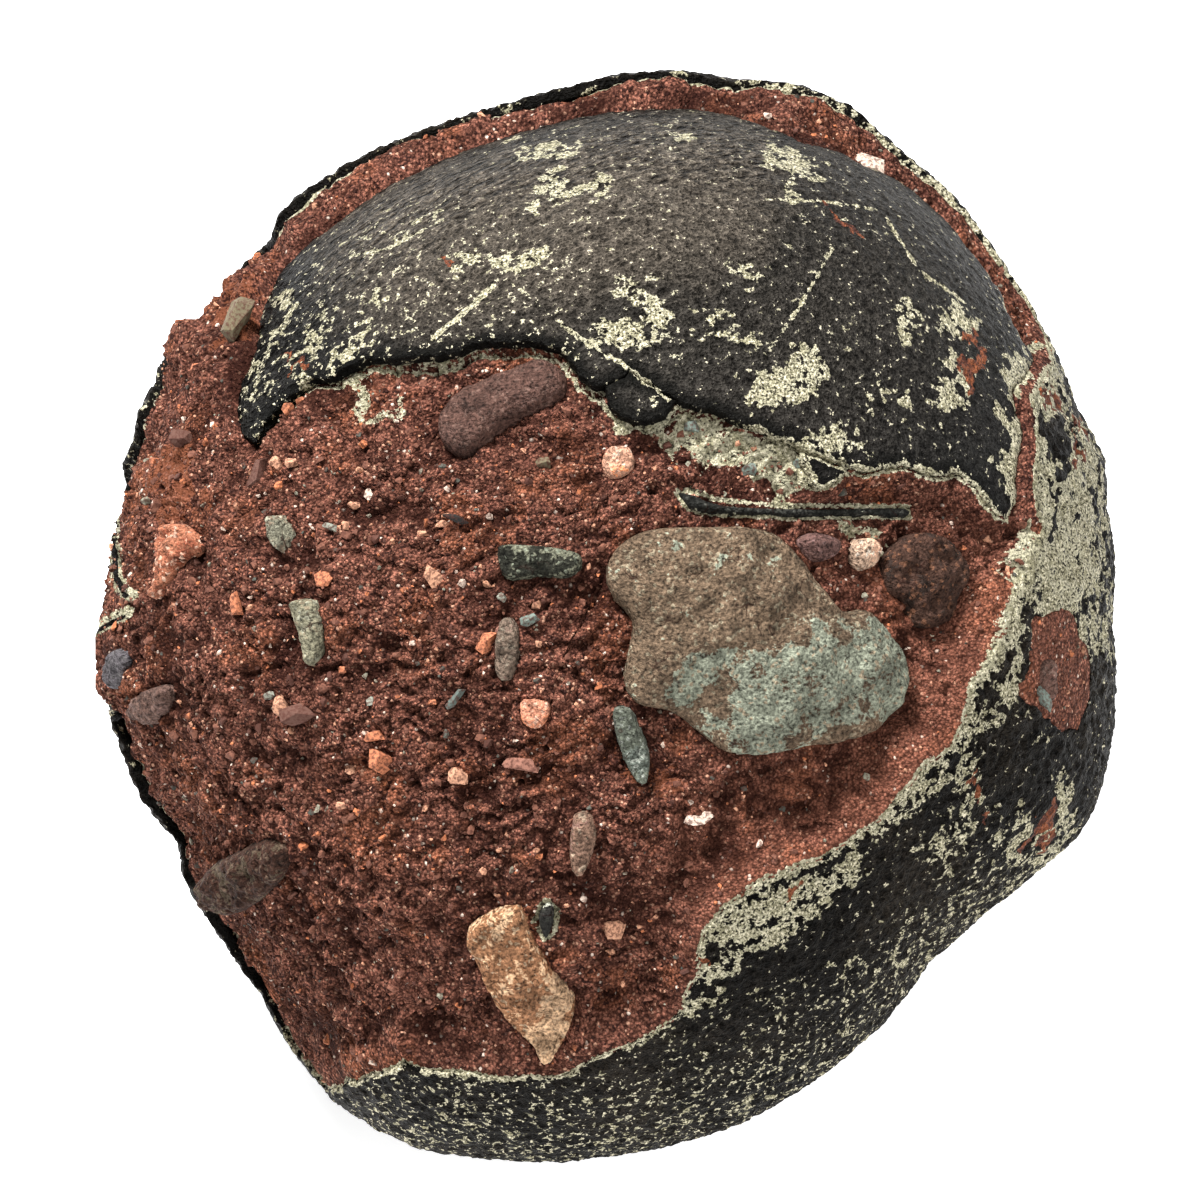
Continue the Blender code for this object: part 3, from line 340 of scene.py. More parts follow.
# The size of a noise's lumps in millimetres, and how many finer octaves it has.
SHELL_BROAD = (3.0, 3.0)
SHELL_FINE = (1.2, 3.0)
SHELL_TINY = (0.4, 1.0)
SHELL_RIPPLES = (0.8, 2.0)
MATRIX_BROAD = (3.2, 3.0)
MATRIX_FINE = (0.6, 3.0)
MATRIX_BLOTCHES = (13.0, 2.0)
MATRIX_GRIT = 0.45  # size of the painted grains
STONE_BROAD = (4.0, 2.0)
STONE_OCTAVES = 3.0
CRACKS = (7.0, 2.0)
CRACK_PLACES = (4.9, 1.0)
CRACK_WIDTH = 0.012  # as a share of the noise's range
GRAIN_DUST = (0.5, 2.0)
NOISE_ROUGHNESS = 0.6
NOISE_RANGE = (0.3, 0.7)  # in which most of a noise lies
MASK_RANGE = (0.47, 0.53)  # where a mask with a ragged edge goes from nothing to full
SHELL_DEPTH = 1.2  # how deep each finish's bump is
MATRIX_DEPTH = 0.8
GRAIN_DEPTH = 0.15

# ------------------------------------------------------------------ colours
MATRIX_DARK = (0.075, 0.028, 0.02)
MATRIX_LIGHT = (0.27, 0.11, 0.073)
MATRIX_ORANGE = (0.3, 0.1, 0.045)
MATRIX_WARM = (0.4, 0.15, 0.09)
# Painted shade: darkens the hollows of the stone face, the gaps between its grains and the stones' cracks.
CREVICE_SHADE = (0.02, 0.006, 0.004)
GRIT_PALE = (0.56, 0.3, 0.2)
GRIT_WHITE = (0.85, 0.68, 0.56)
GRIT_DARK = (0.035, 0.015, 0.012)
STAIN = (0.2, 0.065, 0.03)
# The painted grains' tones, and the chance that a grain's random number has to pass for each.
MATRIX_GRAINS = [(GRIT_PALE, 0.965, 0.97), (GRIT_WHITE, 0.993, 0.995), (GRIT_DARK, 0.1, 0.08)]
CRUST_PALE = (0.4, 0.375, 0.26)
CRUST_DEEP = (0.26, 0.24, 0.15)
CRUST_CREAM = (0.66, 0.6, 0.44)
CRUST_PORE = (0.04, 0.035, 0.025)
SHELL_DARK = (0.007, 0.006, 0.005)
SHELL_WARM = (0.015, 0.012, 0.009)
# Painted near black along the shell's broken edges: partly the shell's own black edge, partly painted shade.
EDGE_BLACK_AND_SHADE = (0.004, 0.004, 0.0035)
SUNKEN_DARK = (0.014, 0.0135, 0.0125)
# The sunken shell's lighter brown: partly a warm tint of its own, partly a painted sheen near its top.
SUNKEN_WARM_AND_SHEEN = (0.072, 0.06, 0.047)
# The grains' shares and tones.
GRAIN_TONES = [
    (0.62, np.array([0.18, 0.075, 0.048])), (0.14, np.array([0.08, 0.034, 0.024])),
    (0.03, np.array([0.6, 0.47, 0.38])), (0.09, np.array([0.56, 0.28, 0.17])),
    (0.06, np.array([0.5, 0.17, 0.075])), (0.03, np.array([0.25, 0.24, 0.18])),
    (0.03, np.array([0.07, 0.075, 0.062])),
]
CLAST_TONES = {
    "orange": (0.5, 0.18, 0.09), "peach": (0.56, 0.29, 0.18), "white": (0.6, 0.47, 0.38),
    "grey": (0.26, 0.27, 0.22), "slate": (0.1, 0.125, 0.11), "brown": (0.12, 0.06, 0.045),
    "rose": (0.3, 0.14, 0.1), "olive": (0.14, 0.115, 0.07), "black": (0.015, 0.015, 0.014),
    "teal": (0.16, 0.2, 0.17),
}
# Small stones placed one by one: x, y, length, width, bearing in degrees and tone.
CLASTS = [
    (-41.4, 6.1, 3.6, 2.6, 20, "orange"), (-25, 5.6, 5.5, 2.3, 115, "peach"),
    (-17.5, -3.5, 3.9, 2.6, 45, "orange"), (-15.4, -1.5, 2.3, 1.8, 0, "rose"),
    (-10.8, -0.1, 3, 2.3, 20, "teal"), (-15.2, 3.1, 1.6, 1.4, 0, "grey"),
    (-21.9, -11.6, 4.2, 1.7, 50, "slate"), (-25.6, -12.6, 1.4, 1.3, 0, "orange"),
    (-33.8, -17.5, 3.1, 2, 10, "orange"), (-32.9, -21.2, 4.7, 3.2, -20, "orange"),
    (-37.7, -22.3, 2.1, 2, 0, "peach"), (-21.4, -23.3, 3.2, 3.1, 30, "peach"),
    (-12, -21.9, 5.5, 2.5, -8, "rose"), (-47.8, -13.4, 2.9, 3.8, 10, "peach"),
    (-45, -14.1, 5.5, 3.4, 0, "brown"), (-50.3, -11.6, 1.7, 1.4, 0, "grey"),
    (-34.7, -12.2, 2.3, 1.3, 30, "grey"), (-39.5, -7.7, 1.4, 1.3, 0, "orange"),
    (-35.4, 18.6, 1.8, 1.4, 60, "white"), (-37.7, 17.2, 2.1, 1.2, 0, "peach"),
    (-8.9, 23.1, 2.6, 1.8, 0, "olive"), (-40.5, 13.5, 2.6, 1.3, -20, "grey"),
    (-38.3, 13.8, 1.7, 1.3, 0, "peach"), (-21.6, 14.6, 4.4, 1.2, -15, "black"),
    (-26.9, 12.6, 1.7, 1.4, 0, "peach"), (-24.1, 14.2, 2.5, 1.2, 20, "peach"),
    (-21.4, 5.2, 1.6, 1.4, 0, "white"), (-28.1, -3.7, 1, 1, 0, "white"), (-9.6, -3.8, 1.2, 1, 0, "peach"),
    (-38.9, -27.9, 2, 1.6, 0, "peach"), (-54.5, 44.5, 7.4, 4.4, 62, "olive"), (-53, 42, 2.3, 2, 0, "peach"),
    (-51.8, 22.2, 5.7, 3.4, 70, "brown"), (-63, 26.8, 4.4, 3.1, -30, "brown"),
    (-61.3, 37.8, 2.1, 1.6, 0, "orange"), (-67.3, 23.3, 1.8, 1.6, 0, "orange"),
    (-46.7, 31, 2.3, 2, 0, "orange"), (-46, 33, 1.6, 1.3, 0, "orange"), (-48.5, 23, 2.3, 2.1, 0, "peach"),
    (-46, 23, 2.1, 2, 0, "peach"), (-58.3, 24.8, 1.2, 1, 0, "white"), (-63, 29.8, 1.2, 1, 0, "white"),
    (-58.5, 29, 1.2, 1, 0, "white"), (-54.8, 2, 1.8, 4.7, 10, "orange"), (14, -29.5, 4.7, 2.1, 0, "white"),
    (1.5, -46.5, 3.9, 3.1, 10, "peach"), (40.6, 68.6, 6.4, 4.2, -25, "white"),
    (25, 76.5, 1.6, 1.2, 0, "white"), (65, -11.5, 5.7, 2.1, -60, "teal"), (21.5, 22, 2.3, 2.1, 0, "teal"),
    (28.5, 22.5, 2.3, 2.1, 0, "teal"), (13.2, 28.6, 2.3, 2.2, 0, "teal"),
]

# ------------------------------------------------------------------ levels and rinds: x, y, millimetres
# How deep the stone face lies below the egg's surface at the outer shell's edge.
RIM_DEPTHS = [
    (0, 80, 1.7), (42, 71, 1.5), (58, 54, 1.1), (66, 40, 0.3), (65, 20, 0.25), (60, 0, 0.3), (50, -22, 0.3),
    (20, -42, 0.35), (10, -62, 0.5), (-10, -68, 0.7), (-35, -70, 1.3), (-60, -45, 1.8), (-75, 0, 2.4),
    (-62, 43, 1.6), (-40, 66, 1.7),
]
# Width of the pale rind on the outer shell along its edge.
RIND_WIDTHS = [
    (0, 80, 0.2), (42, 71, 0.4), (58, 54, 0.6), (66, 40, 2.0), (65, 20, 2.5), (60, 0, 1.6), (50, -22, 1.8),
    (30, -38, 1.8), (16, -48, 1.2), (10, -62, 0.7), (-10, -68, 0.7), (-35, -70, 0.4), (-60, -45, 0.1),
    (-75, 0, 0.2), (-40, 66, 0.1),
]
# Width of the pale rind on the sunken shell along its edge.
SUNKEN_RINDS = [
    (0, 78, 0), (-54, 28, 0), (-20, 40, 0), (10, 31, 0), (34, 21, 0.5), (50, 20, 0.6), (60, 15, 0.8),
    (62, 30, 0.8),
]
# How nearly flush the stone face is with the sunken shell at the shell's lower edge.
BROW_FLUSH = [
    (-54, 27, 0.1), (-40, 36, 0), (-10, 41, 0.1), (4, 30, 0.35), (20, 28, 0.3), (34, 20, 0.5), (44, 21, 0.95),
    (58, 16, 0.95),
]
# Width of the pale rind on the stone face along that edge.
MATRIX_RINDS = [
    (0, 80, 0.4), (42, 71, 0.5), (58, 54, 0.6), (66, 40, 1.2), (65, 20, 0.5), (62, 2, 1.6), (50, -22, 0.4),
    (20, -42, 0.35), (10, -62, 0.3), (-10, -68, 0.35), (-35, -70, 0.4), (-60, -45, 0.3), (-75, 0, 0.4),
    (-62, 43, 0.3), (-40, 66, 0.6),
]

# ------------------------------------------------------------------ marks: strength, width, points
RIND_STRENGTH = 0.78
NO_RIND = 0.01  # keeps a rind's width away from nothing
OUTER_LEAST_RIND = 0.6  # widths below which a rind is faint: outer shell, sunken shell, matrix
SUNKEN_LEAST_RIND = 0.4
MATRIX_LEAST_RIND = 0.3
BACK_CRUST = (0.05, 0.34)  # least and most on the back and the underside
BACK_GRAINS = (0.12, 0.24)
OUTER_CRUST = [
    (0.88, 6.0, [(70.5, 24), (69.5, 10), (68.5, 4)]), (0.88, 4.0, [(66.5, 36), (66, 20), (65, 8)]),
    (0.75, 3.4, [(61.5, 3), (60.5, -3)]), (0.7, 1.8, [(62, -5), (60, -11), (65, -17)]),
    (0.7, 1.6, [(72, 0), (73.6, -5)]), (0.66, 4.0, [(36, -37), (28, -41), (19, -46)]),
    (0.6, 3.4, [(31, -43), (20, -50), (13, -55)]), (0.5, 3.6, [(60, -10), (56, -16), (50, -24), (42, -31)]),
    (0.48, 3.0, [(55, -17), (56, -27), (50, -36)]), (0.62, 2.4, [(68.5, -24), (69, -31), (66, -37)]),
    (0.6, 2.2, [(61.5, -29), (61, -34), (64, -37)]), (0.24, 4.0, [(10, -58), (26, -59), (40, -52)]),
    (0.34, 5.0, [(64, -38), (54, -46), (44, -54)]),
    (0.26, 7.0, [(-30, -76), (-8, -80), (18, -76), (36, -66)]), (0.2, 8.0, [(0, -74), (20, -68)]),
    (0.62, 1.6, [(44, 70), (52, 63), (58, 54)]), (0.56, 2.2, [(74.6, 24), (75.6, 6), (75.6, -4)]),
]
OUTER_BARE = [
    (1.0, 1.5, [(66.2, 30), (67.6, 27), (69, 23.5)]), (0.9, 0.8, [(67, 21), (66, 17.5), (66.5, 14)]),
    (0.8, 0.7, [(73.4, 29), (75, 22), (76.6, 12), (77.6, 5), (78.2, -4), (78.2, -14)]),
    (0.8, 0.7, [(63.8, -6.5), (62.8, -9)]), (0.9, 3.0, [(64, -14), (60, -19), (64, -24)]),
]
OUTER_GRAINS = [
    (0.26, 12.0, [(-30, -74), (-10, -77), (20, -73), (44, -56), (60, -40)]),
    (0.09, 26.0, [(20, -60), (50, -36), (66, -16)]),
]
OUTER_STAIN = [
    (0.95, 1.9, [(66.2, -29), (65, -33)]), (0.9, 0.8, [(63.5, 43), (66.5, 36), (68, 31.5)]),
    (0.8, 0.7, [(56, -22.5), (55.6, -26)]), (0.8, 0.7, [(56.2, -29), (56, -31.5)]),
    (0.8, 0.7, [(71, 28.5), (71.5, 24)]), (0.75, 0.9, [(26.5, -39.5), (29, -38.8)]),
    (0.7, 0.8, [(13.5, -49.5), (15, -49.8)]),
]
SUNKEN_CRUST = [
    (0.66, 2.2, [(-10, 62), (-6, 65)]), (0.62, 1.8, [(-5, 63.5), (0, 64.5)]),
    (0.66, 1.9, [(-17, 53.6), (-9.5, 53)]), (0.66, 1.5, [(-21.5, 53.5), (-20, 54.5)]),
    (0.62, 1.4, [(3, 51), (8, 51.5)]), (0.64, 2.0, [(2.5, 48.5), (8, 45)]), (0.6, 1.7, [(-3, 42.5), (4, 42)]),
    (0.58, 1.6, [(6, 42.5), (10, 42.5)]), (0.56, 2.0, [(20, 52), (23.5, 52)]),
    (0.78, 4.2, [(26, 34), (29.5, 37.5)]), (0.66, 2.0, [(29, 39.5), (31.5, 40.5)]),
    (0.64, 2.4, [(32, 26.5), (37, 26.5)]), (0.5, 1.8, [(40, 30), (43, 34)]),
    (0.64, 2.0, [(45, 43), (46, 46.5)]), (0.72, 2.6, [(50, 44), (53, 44)]),
    (0.66, 3.2, [(51.5, 33), (52, 37)]), (0.6, 1.4, [(46, 32), (47, 34)]),
    (0.66, 2.4, [(24, 70), (31, 67.5)]), (0.58, 1.6, [(28, 64), (31, 65.5)]),
    (0.58, 1.4, [(10, 71.5), (14, 71.5)]), (0.55, 1.4, [(-13, 70.5), (-5, 70.5)]),
    (0.42, 2.6, [(-46, 39), (-40, 43)]), (0.5, 1.2, [(-34, 49), (-37, 42)]),
    (0.42, 1.2, [(-38, 56), (-26, 60.5)]), (0.54, 1.9, [(-53, 33), (-48, 48)]),
    (0.48, 1.4, [(-44, 36), (-34, 41)]), (0.12, 12.0, [(-50, 34), (-30, 42)]),
    (0.06, 24.0, [(-20, 50), (-6, 52)]), (0.95, 2.6, [(62.5, 38), (61.5, 31), (62, 19)]),
    (0.34, 5.0, [(16, 44), (22, 40)]),
]
SUNKEN_LINES = [
    (0.95, 0.5, [(-25.4, 41.7), (-20.6, 45.6), (-16.4, 49.6)]),
    (0.7, 0.35, [(-24, 59.5), (-32, 55.2), (-38, 54)]), (0.75, 0.3, [(-14, 50), (-11, 47.7), (-5, 42.6)]),
    (1.1, 0.4, [(-5, 42.6), (-0.6, 39.6), (2.4, 38), (9.6, 32.6)]),
    (0.8, 0.4, [(34, 55), (29.5, 47), (24, 39)]), (0.7, 0.35, [(24, 62.5), (33, 62.2), (41, 61)]),
    (0.7, 0.35, [(42, 60), (45, 55), (47, 52), (54, 47)]), (0.75, 0.35, [(50, 29), (51.6, 25), (53, 22)]),
]
SUNKEN_GRAINS = [(0.2, 22.0, [(-46, 40), (-16, 46)]), (0.12, 34.0, [(10, 55), (50, 40)])]
SUNKEN_STAIN = [
    (0.6, 2.0, [(54, 35), (55.5, 39), (54, 42)]), (0.85, 0.6, [(33, 61), (37, 58), (39, 56)]),
    (0.8, 0.8, [(-23.5, 54)]), (0.7, 0.6, [(-47, 38), (-45, 40)]),
]
# Where the sunken shell is lighter brown: a warm tint and a painted sheen.
SUNKEN_WARMTH_AND_SHEEN = [(0.85, 16.0, [(-28, 54), (-6, 59), (14, 63)]), (0.22, 40.0, [(0, 55), (22, 52)])]
# Where the sunken shell has ripples, both in bump and in painted sheen and shade.
SUNKEN_RIPPLES = [
    (1.0, 9.0, [(-53, 36), (-44, 52), (-24, 65), (0, 72), (22, 70)]), (0.4, 26.0, [(-20, 58), (20, 62)]),
]
CREST_LINE = [(1.0, 4.0, [(x, y) for x, y in CREST])]
MATRIX_CRUST = [
    (0.98, 3.8, [(14, 27.5), (20, 25), (28, 21.5)]), (0.85, 2.0, [(5, 29), (12, 27)]),
    (0.72, 1.6, [(-38, 35), (-36, 31)]), (0.66, 1.0, [(-30, 33), (-34, 31)]),
    (0.7, 1.2, [(-22, 38), (-26, 37)]), (1.0, 2.4, [(62, 12), (62, 4)]), (0.9, 1.6, [(63, 34), (63, 40)]),
    (0.78, 1.3, [(35, 13.6), (41, 11.5)]),
]
MATRIX_LINES = [
    (0.85, 0.5, [(10.8, 19), (13.4, 18.9), (16.4, 17.7), (26, 16.7), (38, 16.7), (45.2, 16.6), (45.4, 15),
                 (34, 15)]),
    (0.85, 0.5, [(10.8, 18.6), (12.6, 16), (17, 15.4), (28, 14.9), (34, 15)]),
    (0.9, 0.55, [(-10.4, -44.8), (-8.7, -42), (-7, -43.4), (-7.2, -46.6), (-8.8, -47.8), (-10.4, -44.8)]),
    (0.9, 1.3, [(-73.6, 15), (-73.5, 10), (-73, 6), (-71.5, 3.4), (-70.6, 3.6)]),
    (0.9, 1.2, [(-71, 1), (-77, -2)]),
]
MATRIX_SHELL = [
    (1.0, 0.6, [(-73.6, 15), (-73.5, 10), (-73, 6), (-71.5, 3.4)]), (1.0, 0.4, [(-72, 0.2), (-76.5, -2.2)]),
    (0.9, 1.0, [(-71, 30), (-69, 34), (-66, 38.5)]),
]
MATRIX_WARMTH = [(1.0, 20.0, [(28, -36), (44, -20), (52, -4)])]
MATRIX_STAIN = [
    (0.7, 5, [(-66, 22), (-64, 19)]), (0.6, 6.0, [(-56, 46), (-52, 49)]), (0.5, 5.0, [(5, -22), (9, -24)]),
]

# ------------------------------------------------------------------ the stones' looks
PLAIN_LOOK = {"edge": 0.7, "relief": 0.7, "size": 2.5, "rough": 0.8, "grit": 0.55, "depth": 0.8, "tint": 0.35,
              "marks": []}


def stone_look(first, second, spot, **other):
    return {**PLAIN_LOOK, "first": first, "second": second, "spot": spot, **other}


STONE_LOOKS = {
    "large_pebble": stone_look(
        (0.132, 0.09, 0.058), (0.17, 0.18, 0.135), (0.21, 0.17, 0.115), edge=1.6, relief=1.2, size=7.0,
        tint=0.16, marks=[(0.8, 9.0, [(24, -14), (36, -8), (41, -7)]), (0.75, 3.5, [(12, -9), (18, -6)])]),
    "brown_pebble": stone_look(
        (0.085, 0.045, 0.035), (0.065, 0.034, 0.026), (0.12, 0.07, 0.055), edge=3.0, relief=0.8, size=4.0,
        rough=0.6),
    "green_clast": stone_look((0.026, 0.026, 0.019), (0.1, 0.1, 0.07), (0.14, 0.15, 0.11)),
    "slate_clast": stone_look((0.12, 0.13, 0.1), (0.08, 0.09, 0.075), (0.2, 0.21, 0.18)),
    "tan_slab": stone_look(
        (0.31, 0.15, 0.075), (0.44, 0.28, 0.165), (0.47, 0.32, 0.2), edge=0.6,
        marks=[(0.9, 4.0, [(-7, -58), (-9, -65)]), (0.8, 1.6, [(-13, -43), (-19, -47)])]),
    "dark_cobble": stone_look(
        (0.045, 0.021, 0.014), (0.05, 0.036, 0.023), (0.09, 0.058, 0.04), edge=2.4, relief=1.5, size=4.0),
    "granite_clast": stone_look(
        (0.4, 0.155, 0.088), (0.18, 0.055, 0.03), (0.58, 0.36, 0.26), relief=1.0, tint=0.42),
    "pale_clast": stone_look((0.2, 0.185, 0.125), (0.15, 0.12, 0.08), (0.27, 0.26, 0.19)),
    "brown_wedge": stone_look((0.12, 0.07, 0.055), (0.1, 0.06, 0.05), (0.15, 0.09, 0.07)),
    "grey_rim_cobble": stone_look((0.09, 0.08, 0.085), (0.07, 0.065, 0.07), (0.12, 0.11, 0.11)),
    "dark_right_cobble": stone_look(
        (0.058, 0.03, 0.021), (0.022, 0.014, 0.011), (0.13, 0.06, 0.035), edge=2.2, relief=1.5, size=4.5),
    "purple_pebble": stone_look(
        (0.13, 0.07, 0.06), (0.1, 0.055, 0.045), (0.17, 0.1, 0.09), edge=2.0, rough=0.65),
    "pink_pebble": stone_look((0.5, 0.34, 0.24), (0.42, 0.25, 0.17), (0.6, 0.5, 0.4)),
    "rose_clast": stone_look((0.56, 0.24, 0.15), (0.46, 0.17, 0.09), (0.6, 0.35, 0.25)),
    "grey_clast": stone_look((0.17, 0.16, 0.115), (0.13, 0.1, 0.07), (0.24, 0.23, 0.17)),
    "brown_oblong": stone_look((0.22, 0.13, 0.09), (0.16, 0.09, 0.07), (0.33, 0.24, 0.17)),
    "grey_oblong": stone_look((0.16, 0.115, 0.085), (0.12, 0.075, 0.06), (0.2, 0.16, 0.12)),
    "orange_granule": stone_look((0.56, 0.3, 0.2), (0.5, 0.19, 0.09), (0.6, 0.42, 0.32)),
    "window_pebble": stone_look((0.12, 0.065, 0.05), (0.1, 0.05, 0.04), (0.16, 0.1, 0.08)),
    "shell_sliver": stone_look(
        (0.016, 0.016, 0.014), (0.3, 0.3, 0.22), (0.045, 0.045, 0.038), edge=0.4, relief=0.2, size=1.5,
        tint=0.12),
    "shell_chip": stone_look(
        (0.03, 0.028, 0.025), (0.4, 0.4, 0.32), (0.06, 0.06, 0.05), edge=0.5, relief=0.2, size=1.5),
}

# ------------------------------------------------------------------ camera and light
CAMERA_DISTANCE = 6000.0
FRAME_WIDTH = 180.0
FRAME_MIDDLE = (-0.6, 2.7)  # the point of the face at the middle of the picture
FLOOR_HALF = 1500.0
SENSOR = 36.0  # width of the camera's sensor; the lens's length follows from it
FLOOR_WHITE = (0.91, 0.91, 0.91)
FLOOR_GLOW = 0.75
SURROUND = 0.3
# Soft lights: name, place in the face frame, size, watts.
LIGHTS = [
    ("key", (-450, 1000, 700), 340.0, 44.0),
    ("fill", (600, -100, 1100), 700.0, 9.0),
]


# ------------------------------------------------------------------ the body's surfaces
def unit(vectors):
    """The directions of an array of vectors."""
    return vectors / np.linalg.norm(vectors, axis=-1, keepdims=True)


def smoothstep(share):
    share = np.clip(share, 0.0, 1.0)
    return share * share * (3.0 - 2.0 * share)


def faded(away, width, full):
    """1 up to a share of a width away (full), and from there falling to 0 within one whole width."""
    return smoothstep(1.0 + full - away / width)


def girth_table():
    """The girth's radius for every half degree of bearing, as it is and averaged smooth."""
    points = np.array(GIRTH, float)
    bearings = np.arctan2(points[:, 1], points[:, 0])
    order = np.argsort(bearings)
    samples = np.linspace(-math.pi, math.pi, GIRTH_SAMPLES, endpoint=False)
    radii = np.interp(samples, bearings[order], np.hypot(*points[order].T), period=2 * math.pi)
    for middle, half_width in BARE_GIRTH:
        away = np.abs((np.degrees(samples) - middle + 180) % 360 - 180)
        radii += (SHELL + GAP) * smoothstep((half_width - away) / BARE_FADE + 0.5)
    away = np.minimum(samples - samples[0], 2 * math.pi - (samples - samples[0]))
    weight = np.exp(-0.5 * (away / SMOOTH_SPREAD) ** 2)
    smooth = np.fft.ifft(np.fft.fft(radii) * np.fft.fft(weight / weight.sum())).real
    return samples, radii, smooth


BEARINGS, GIRTH_RADII, SMOOTH_RADII = girth_table()


def noise_at(directions, size, seed):
    """Smooth noise between about -1 and 1, with lumps of the given size in millimetres."""
    return np.array([noise.noise(p) for p in (directions * (MEAN_RADIUS / size) + seed).tolist()])


def rough_at(directions, size, seed, octaves=3):
    """Noise with lumps of the given size and finer ones on them."""
    places = (directions * (MEAN_RADIUS / size) + seed).tolist()
    return np.array([noise.fractal(p, ROUGH_FALL, ROUGH_STEP, octaves) for p in places])


def two_noises(directions, size, seeds, fold=np.asarray):
    """A noise and half as much of one half its size, each folded first."""
    first, second = (fold(noise_at(directions, size / share, seed)) for share, seed in zip((1, 2), seeds))
    return first + 0.5 * second


def dome(share):
    """The height of a quarter of a circle, from 0 at its rim to 1 at its middle and beyond."""
    return np.sqrt(1.0 - (1.0 - np.minimum(share, 1.0)) ** 2)


def ellipsoid(directions, radii):
    """Radius of a body with the given girth radius at each direction's bearing."""
    w = directions[:, 2]
    depth = np.where(w > 0, FRONT_DEPTH, BACK_DEPTH)
    return 1.0 / np.sqrt((1.0 - w * w) / radii**2 + w * w / depth**2)


def body_radius(directions):
    """The whole egg's outer surface, before anything broke, with its flat spot."""
    bearing = np.arctan2(directions[:, 1], directions[:, 0])
    rough = np.interp(bearing, BEARINGS, GIRTH_RADII, period=2 * math.pi)
    smooth = np.interp(bearing, BEARINGS, SMOOTH_RADII, period=2 * math.pi)
    near_girth = np.exp(-(directions[:, 2] / GIRTH_BLEND) ** 2)
    radius = ellipsoid(directions, smooth + (rough - smooth) * near_girth)
    radius += LUMP * noise_at(directions, LUMP_SIZE, LUMP_SEED) * (1.0 - near_girth)
    fall = -(directions[:, 1] * math.cos(FACE_TILT) + directions[:, 2] * math.sin(FACE_TILT))
    return np.minimum(radius, MIDDLE[2] / np.maximum(fall, TINY))


def spread(table, directions):
    """A number for each direction, blended from a table of (x, y, number)."""
    place = directions[:, :2] * ellipsoid(directions, np.full(len(directions), MEAN_RADIUS))[:, None]
    nearest = np.full(len(place), np.inf)
    for x, y, _ in table:
        nearest = np.minimum(nearest, (place[:, 0] - x) ** 2 + (place[:, 1] - y) ** 2)
    total = np.zeros(len(place))
    weights = np.zeros(len(place))
    for x, y, number in table:
        away = (place[:, 0] - x) ** 2 + (place[:, 1] - y) ** 2 - nearest
        weight = np.exp(-away / (2 * DEPTH_SPREAD**2))
        total += weight * number
        weights += weight
    return total / weights


def sunken_radius(directions):
    """The outside of the sunken shell."""
    bearing = np.arctan2(directions[:, 1], directions[:, 0])
    smooth = np.interp(bearing, BEARINGS, SMOOTH_RADII, period=2 * math.pi)
    return ellipsoid(directions, smooth) - spread(SUNKEN_DEPTHS, directions)


def loop_of(points, surface):
    """The directions, on the face's side, in which a surface shows at the points (x, y) of the face."""
    places = np.array(points, float)
    reach = (places**2).sum(axis=1)
    depth = np.full(len(places), FIRST_GUESS)
    for _ in range(ROUNDS):
        radius = surface(unit(np.column_stack([places, depth])))
        depth = (depth + np.sqrt(np.maximum(radius**2 - reach, LEAST_DEPTH**2))) / 2
    return unit(np.column_stack([places, depth]))


def opening_loop():
    """Directions of the outer shell's broken edge."""
    found = []
    for point in OPENING:
        if len(point) == 2:
            found.append(loop_of([point], body_radius)[0])
            continue
        bearing = math.atan2(point[1], point[0])
        lean = math.radians(point[2])
        level = math.cos(lean)
        found.append([math.cos(bearing) * level, math.sin(bearing) * level, -math.sin(lean)])
    return np.array(found)


def moved_out(loop, distance):
    """A clockwise loop with each point moved outwards along the surface by a distance in millimetres."""
    along = unit(np.roll(loop, -1, axis=0) - np.roll(loop, 1, axis=0))
    outwards = unit(np.cross(loop, along))
    return unit(loop + outwards * (np.reshape(distance, (-1, 1)) / MEAN_RADIUS))


def curve_through(points, pieces):
    """A smooth closed curve through an outline's points, with so many pieces to each side."""
    found = []
    before, start, end, after = (np.roll(points, shift, axis=0) for shift in (1, 0, -1, -2))
    for share in np.arange(pieces) / pieces:
        bend = -before * share + 2 * before * share**2 - before * share**3
        bend += 2 * start - 5 * start * share**2 + 3 * start * share**3
        bend += end * share + 4 * end * share**2 - 3 * end * share**3
        bend += -after * share**2 + after * share**3
        found.append(bend / 2)
    return np.stack(found, axis=1).reshape(-1, points.shape[1])


def broken(loop, closed=True):
    """A line with many small sides, roughened as a break is; neighbouring lines move together."""
    fine = []
    for start, end in zip(loop, np.roll(loop, -1, axis=0) if closed else loop[1:]):
        count = max(1, round(MEAN_RADIUS * float(np.linalg.norm(end - start)) / EDGE_STEP))
        fine.append(start + (end - start) * (np.arange(count) / count)[:, None])
    fine = unit(np.vstack(fine))
    shift = np.zeros_like(fine)
    for size, wander in EDGE_WANDER:
        places = (fine * (MEAN_RADIUS / size)).tolist()
        shift += np.array([noise.noise_vector(p) for p in places]) * wander
    return unit(fine + shift / MEAN_RADIUS)


# ------------------------------------------------------------------ nets of directions
def to_plane(directions):
    """Stereographic map from the sphere of directions to a plane, seen from straight behind."""
    return 2.0 * directions[:, :2] / np.maximum(1.0 + directions[:, 2:3], HAIR)


def from_plane(points):
    square = (points**2).sum(axis=1, keepdims=True) / 4.0
    return np.hstack([points, 1.0 - square]) / (1.0 + square)


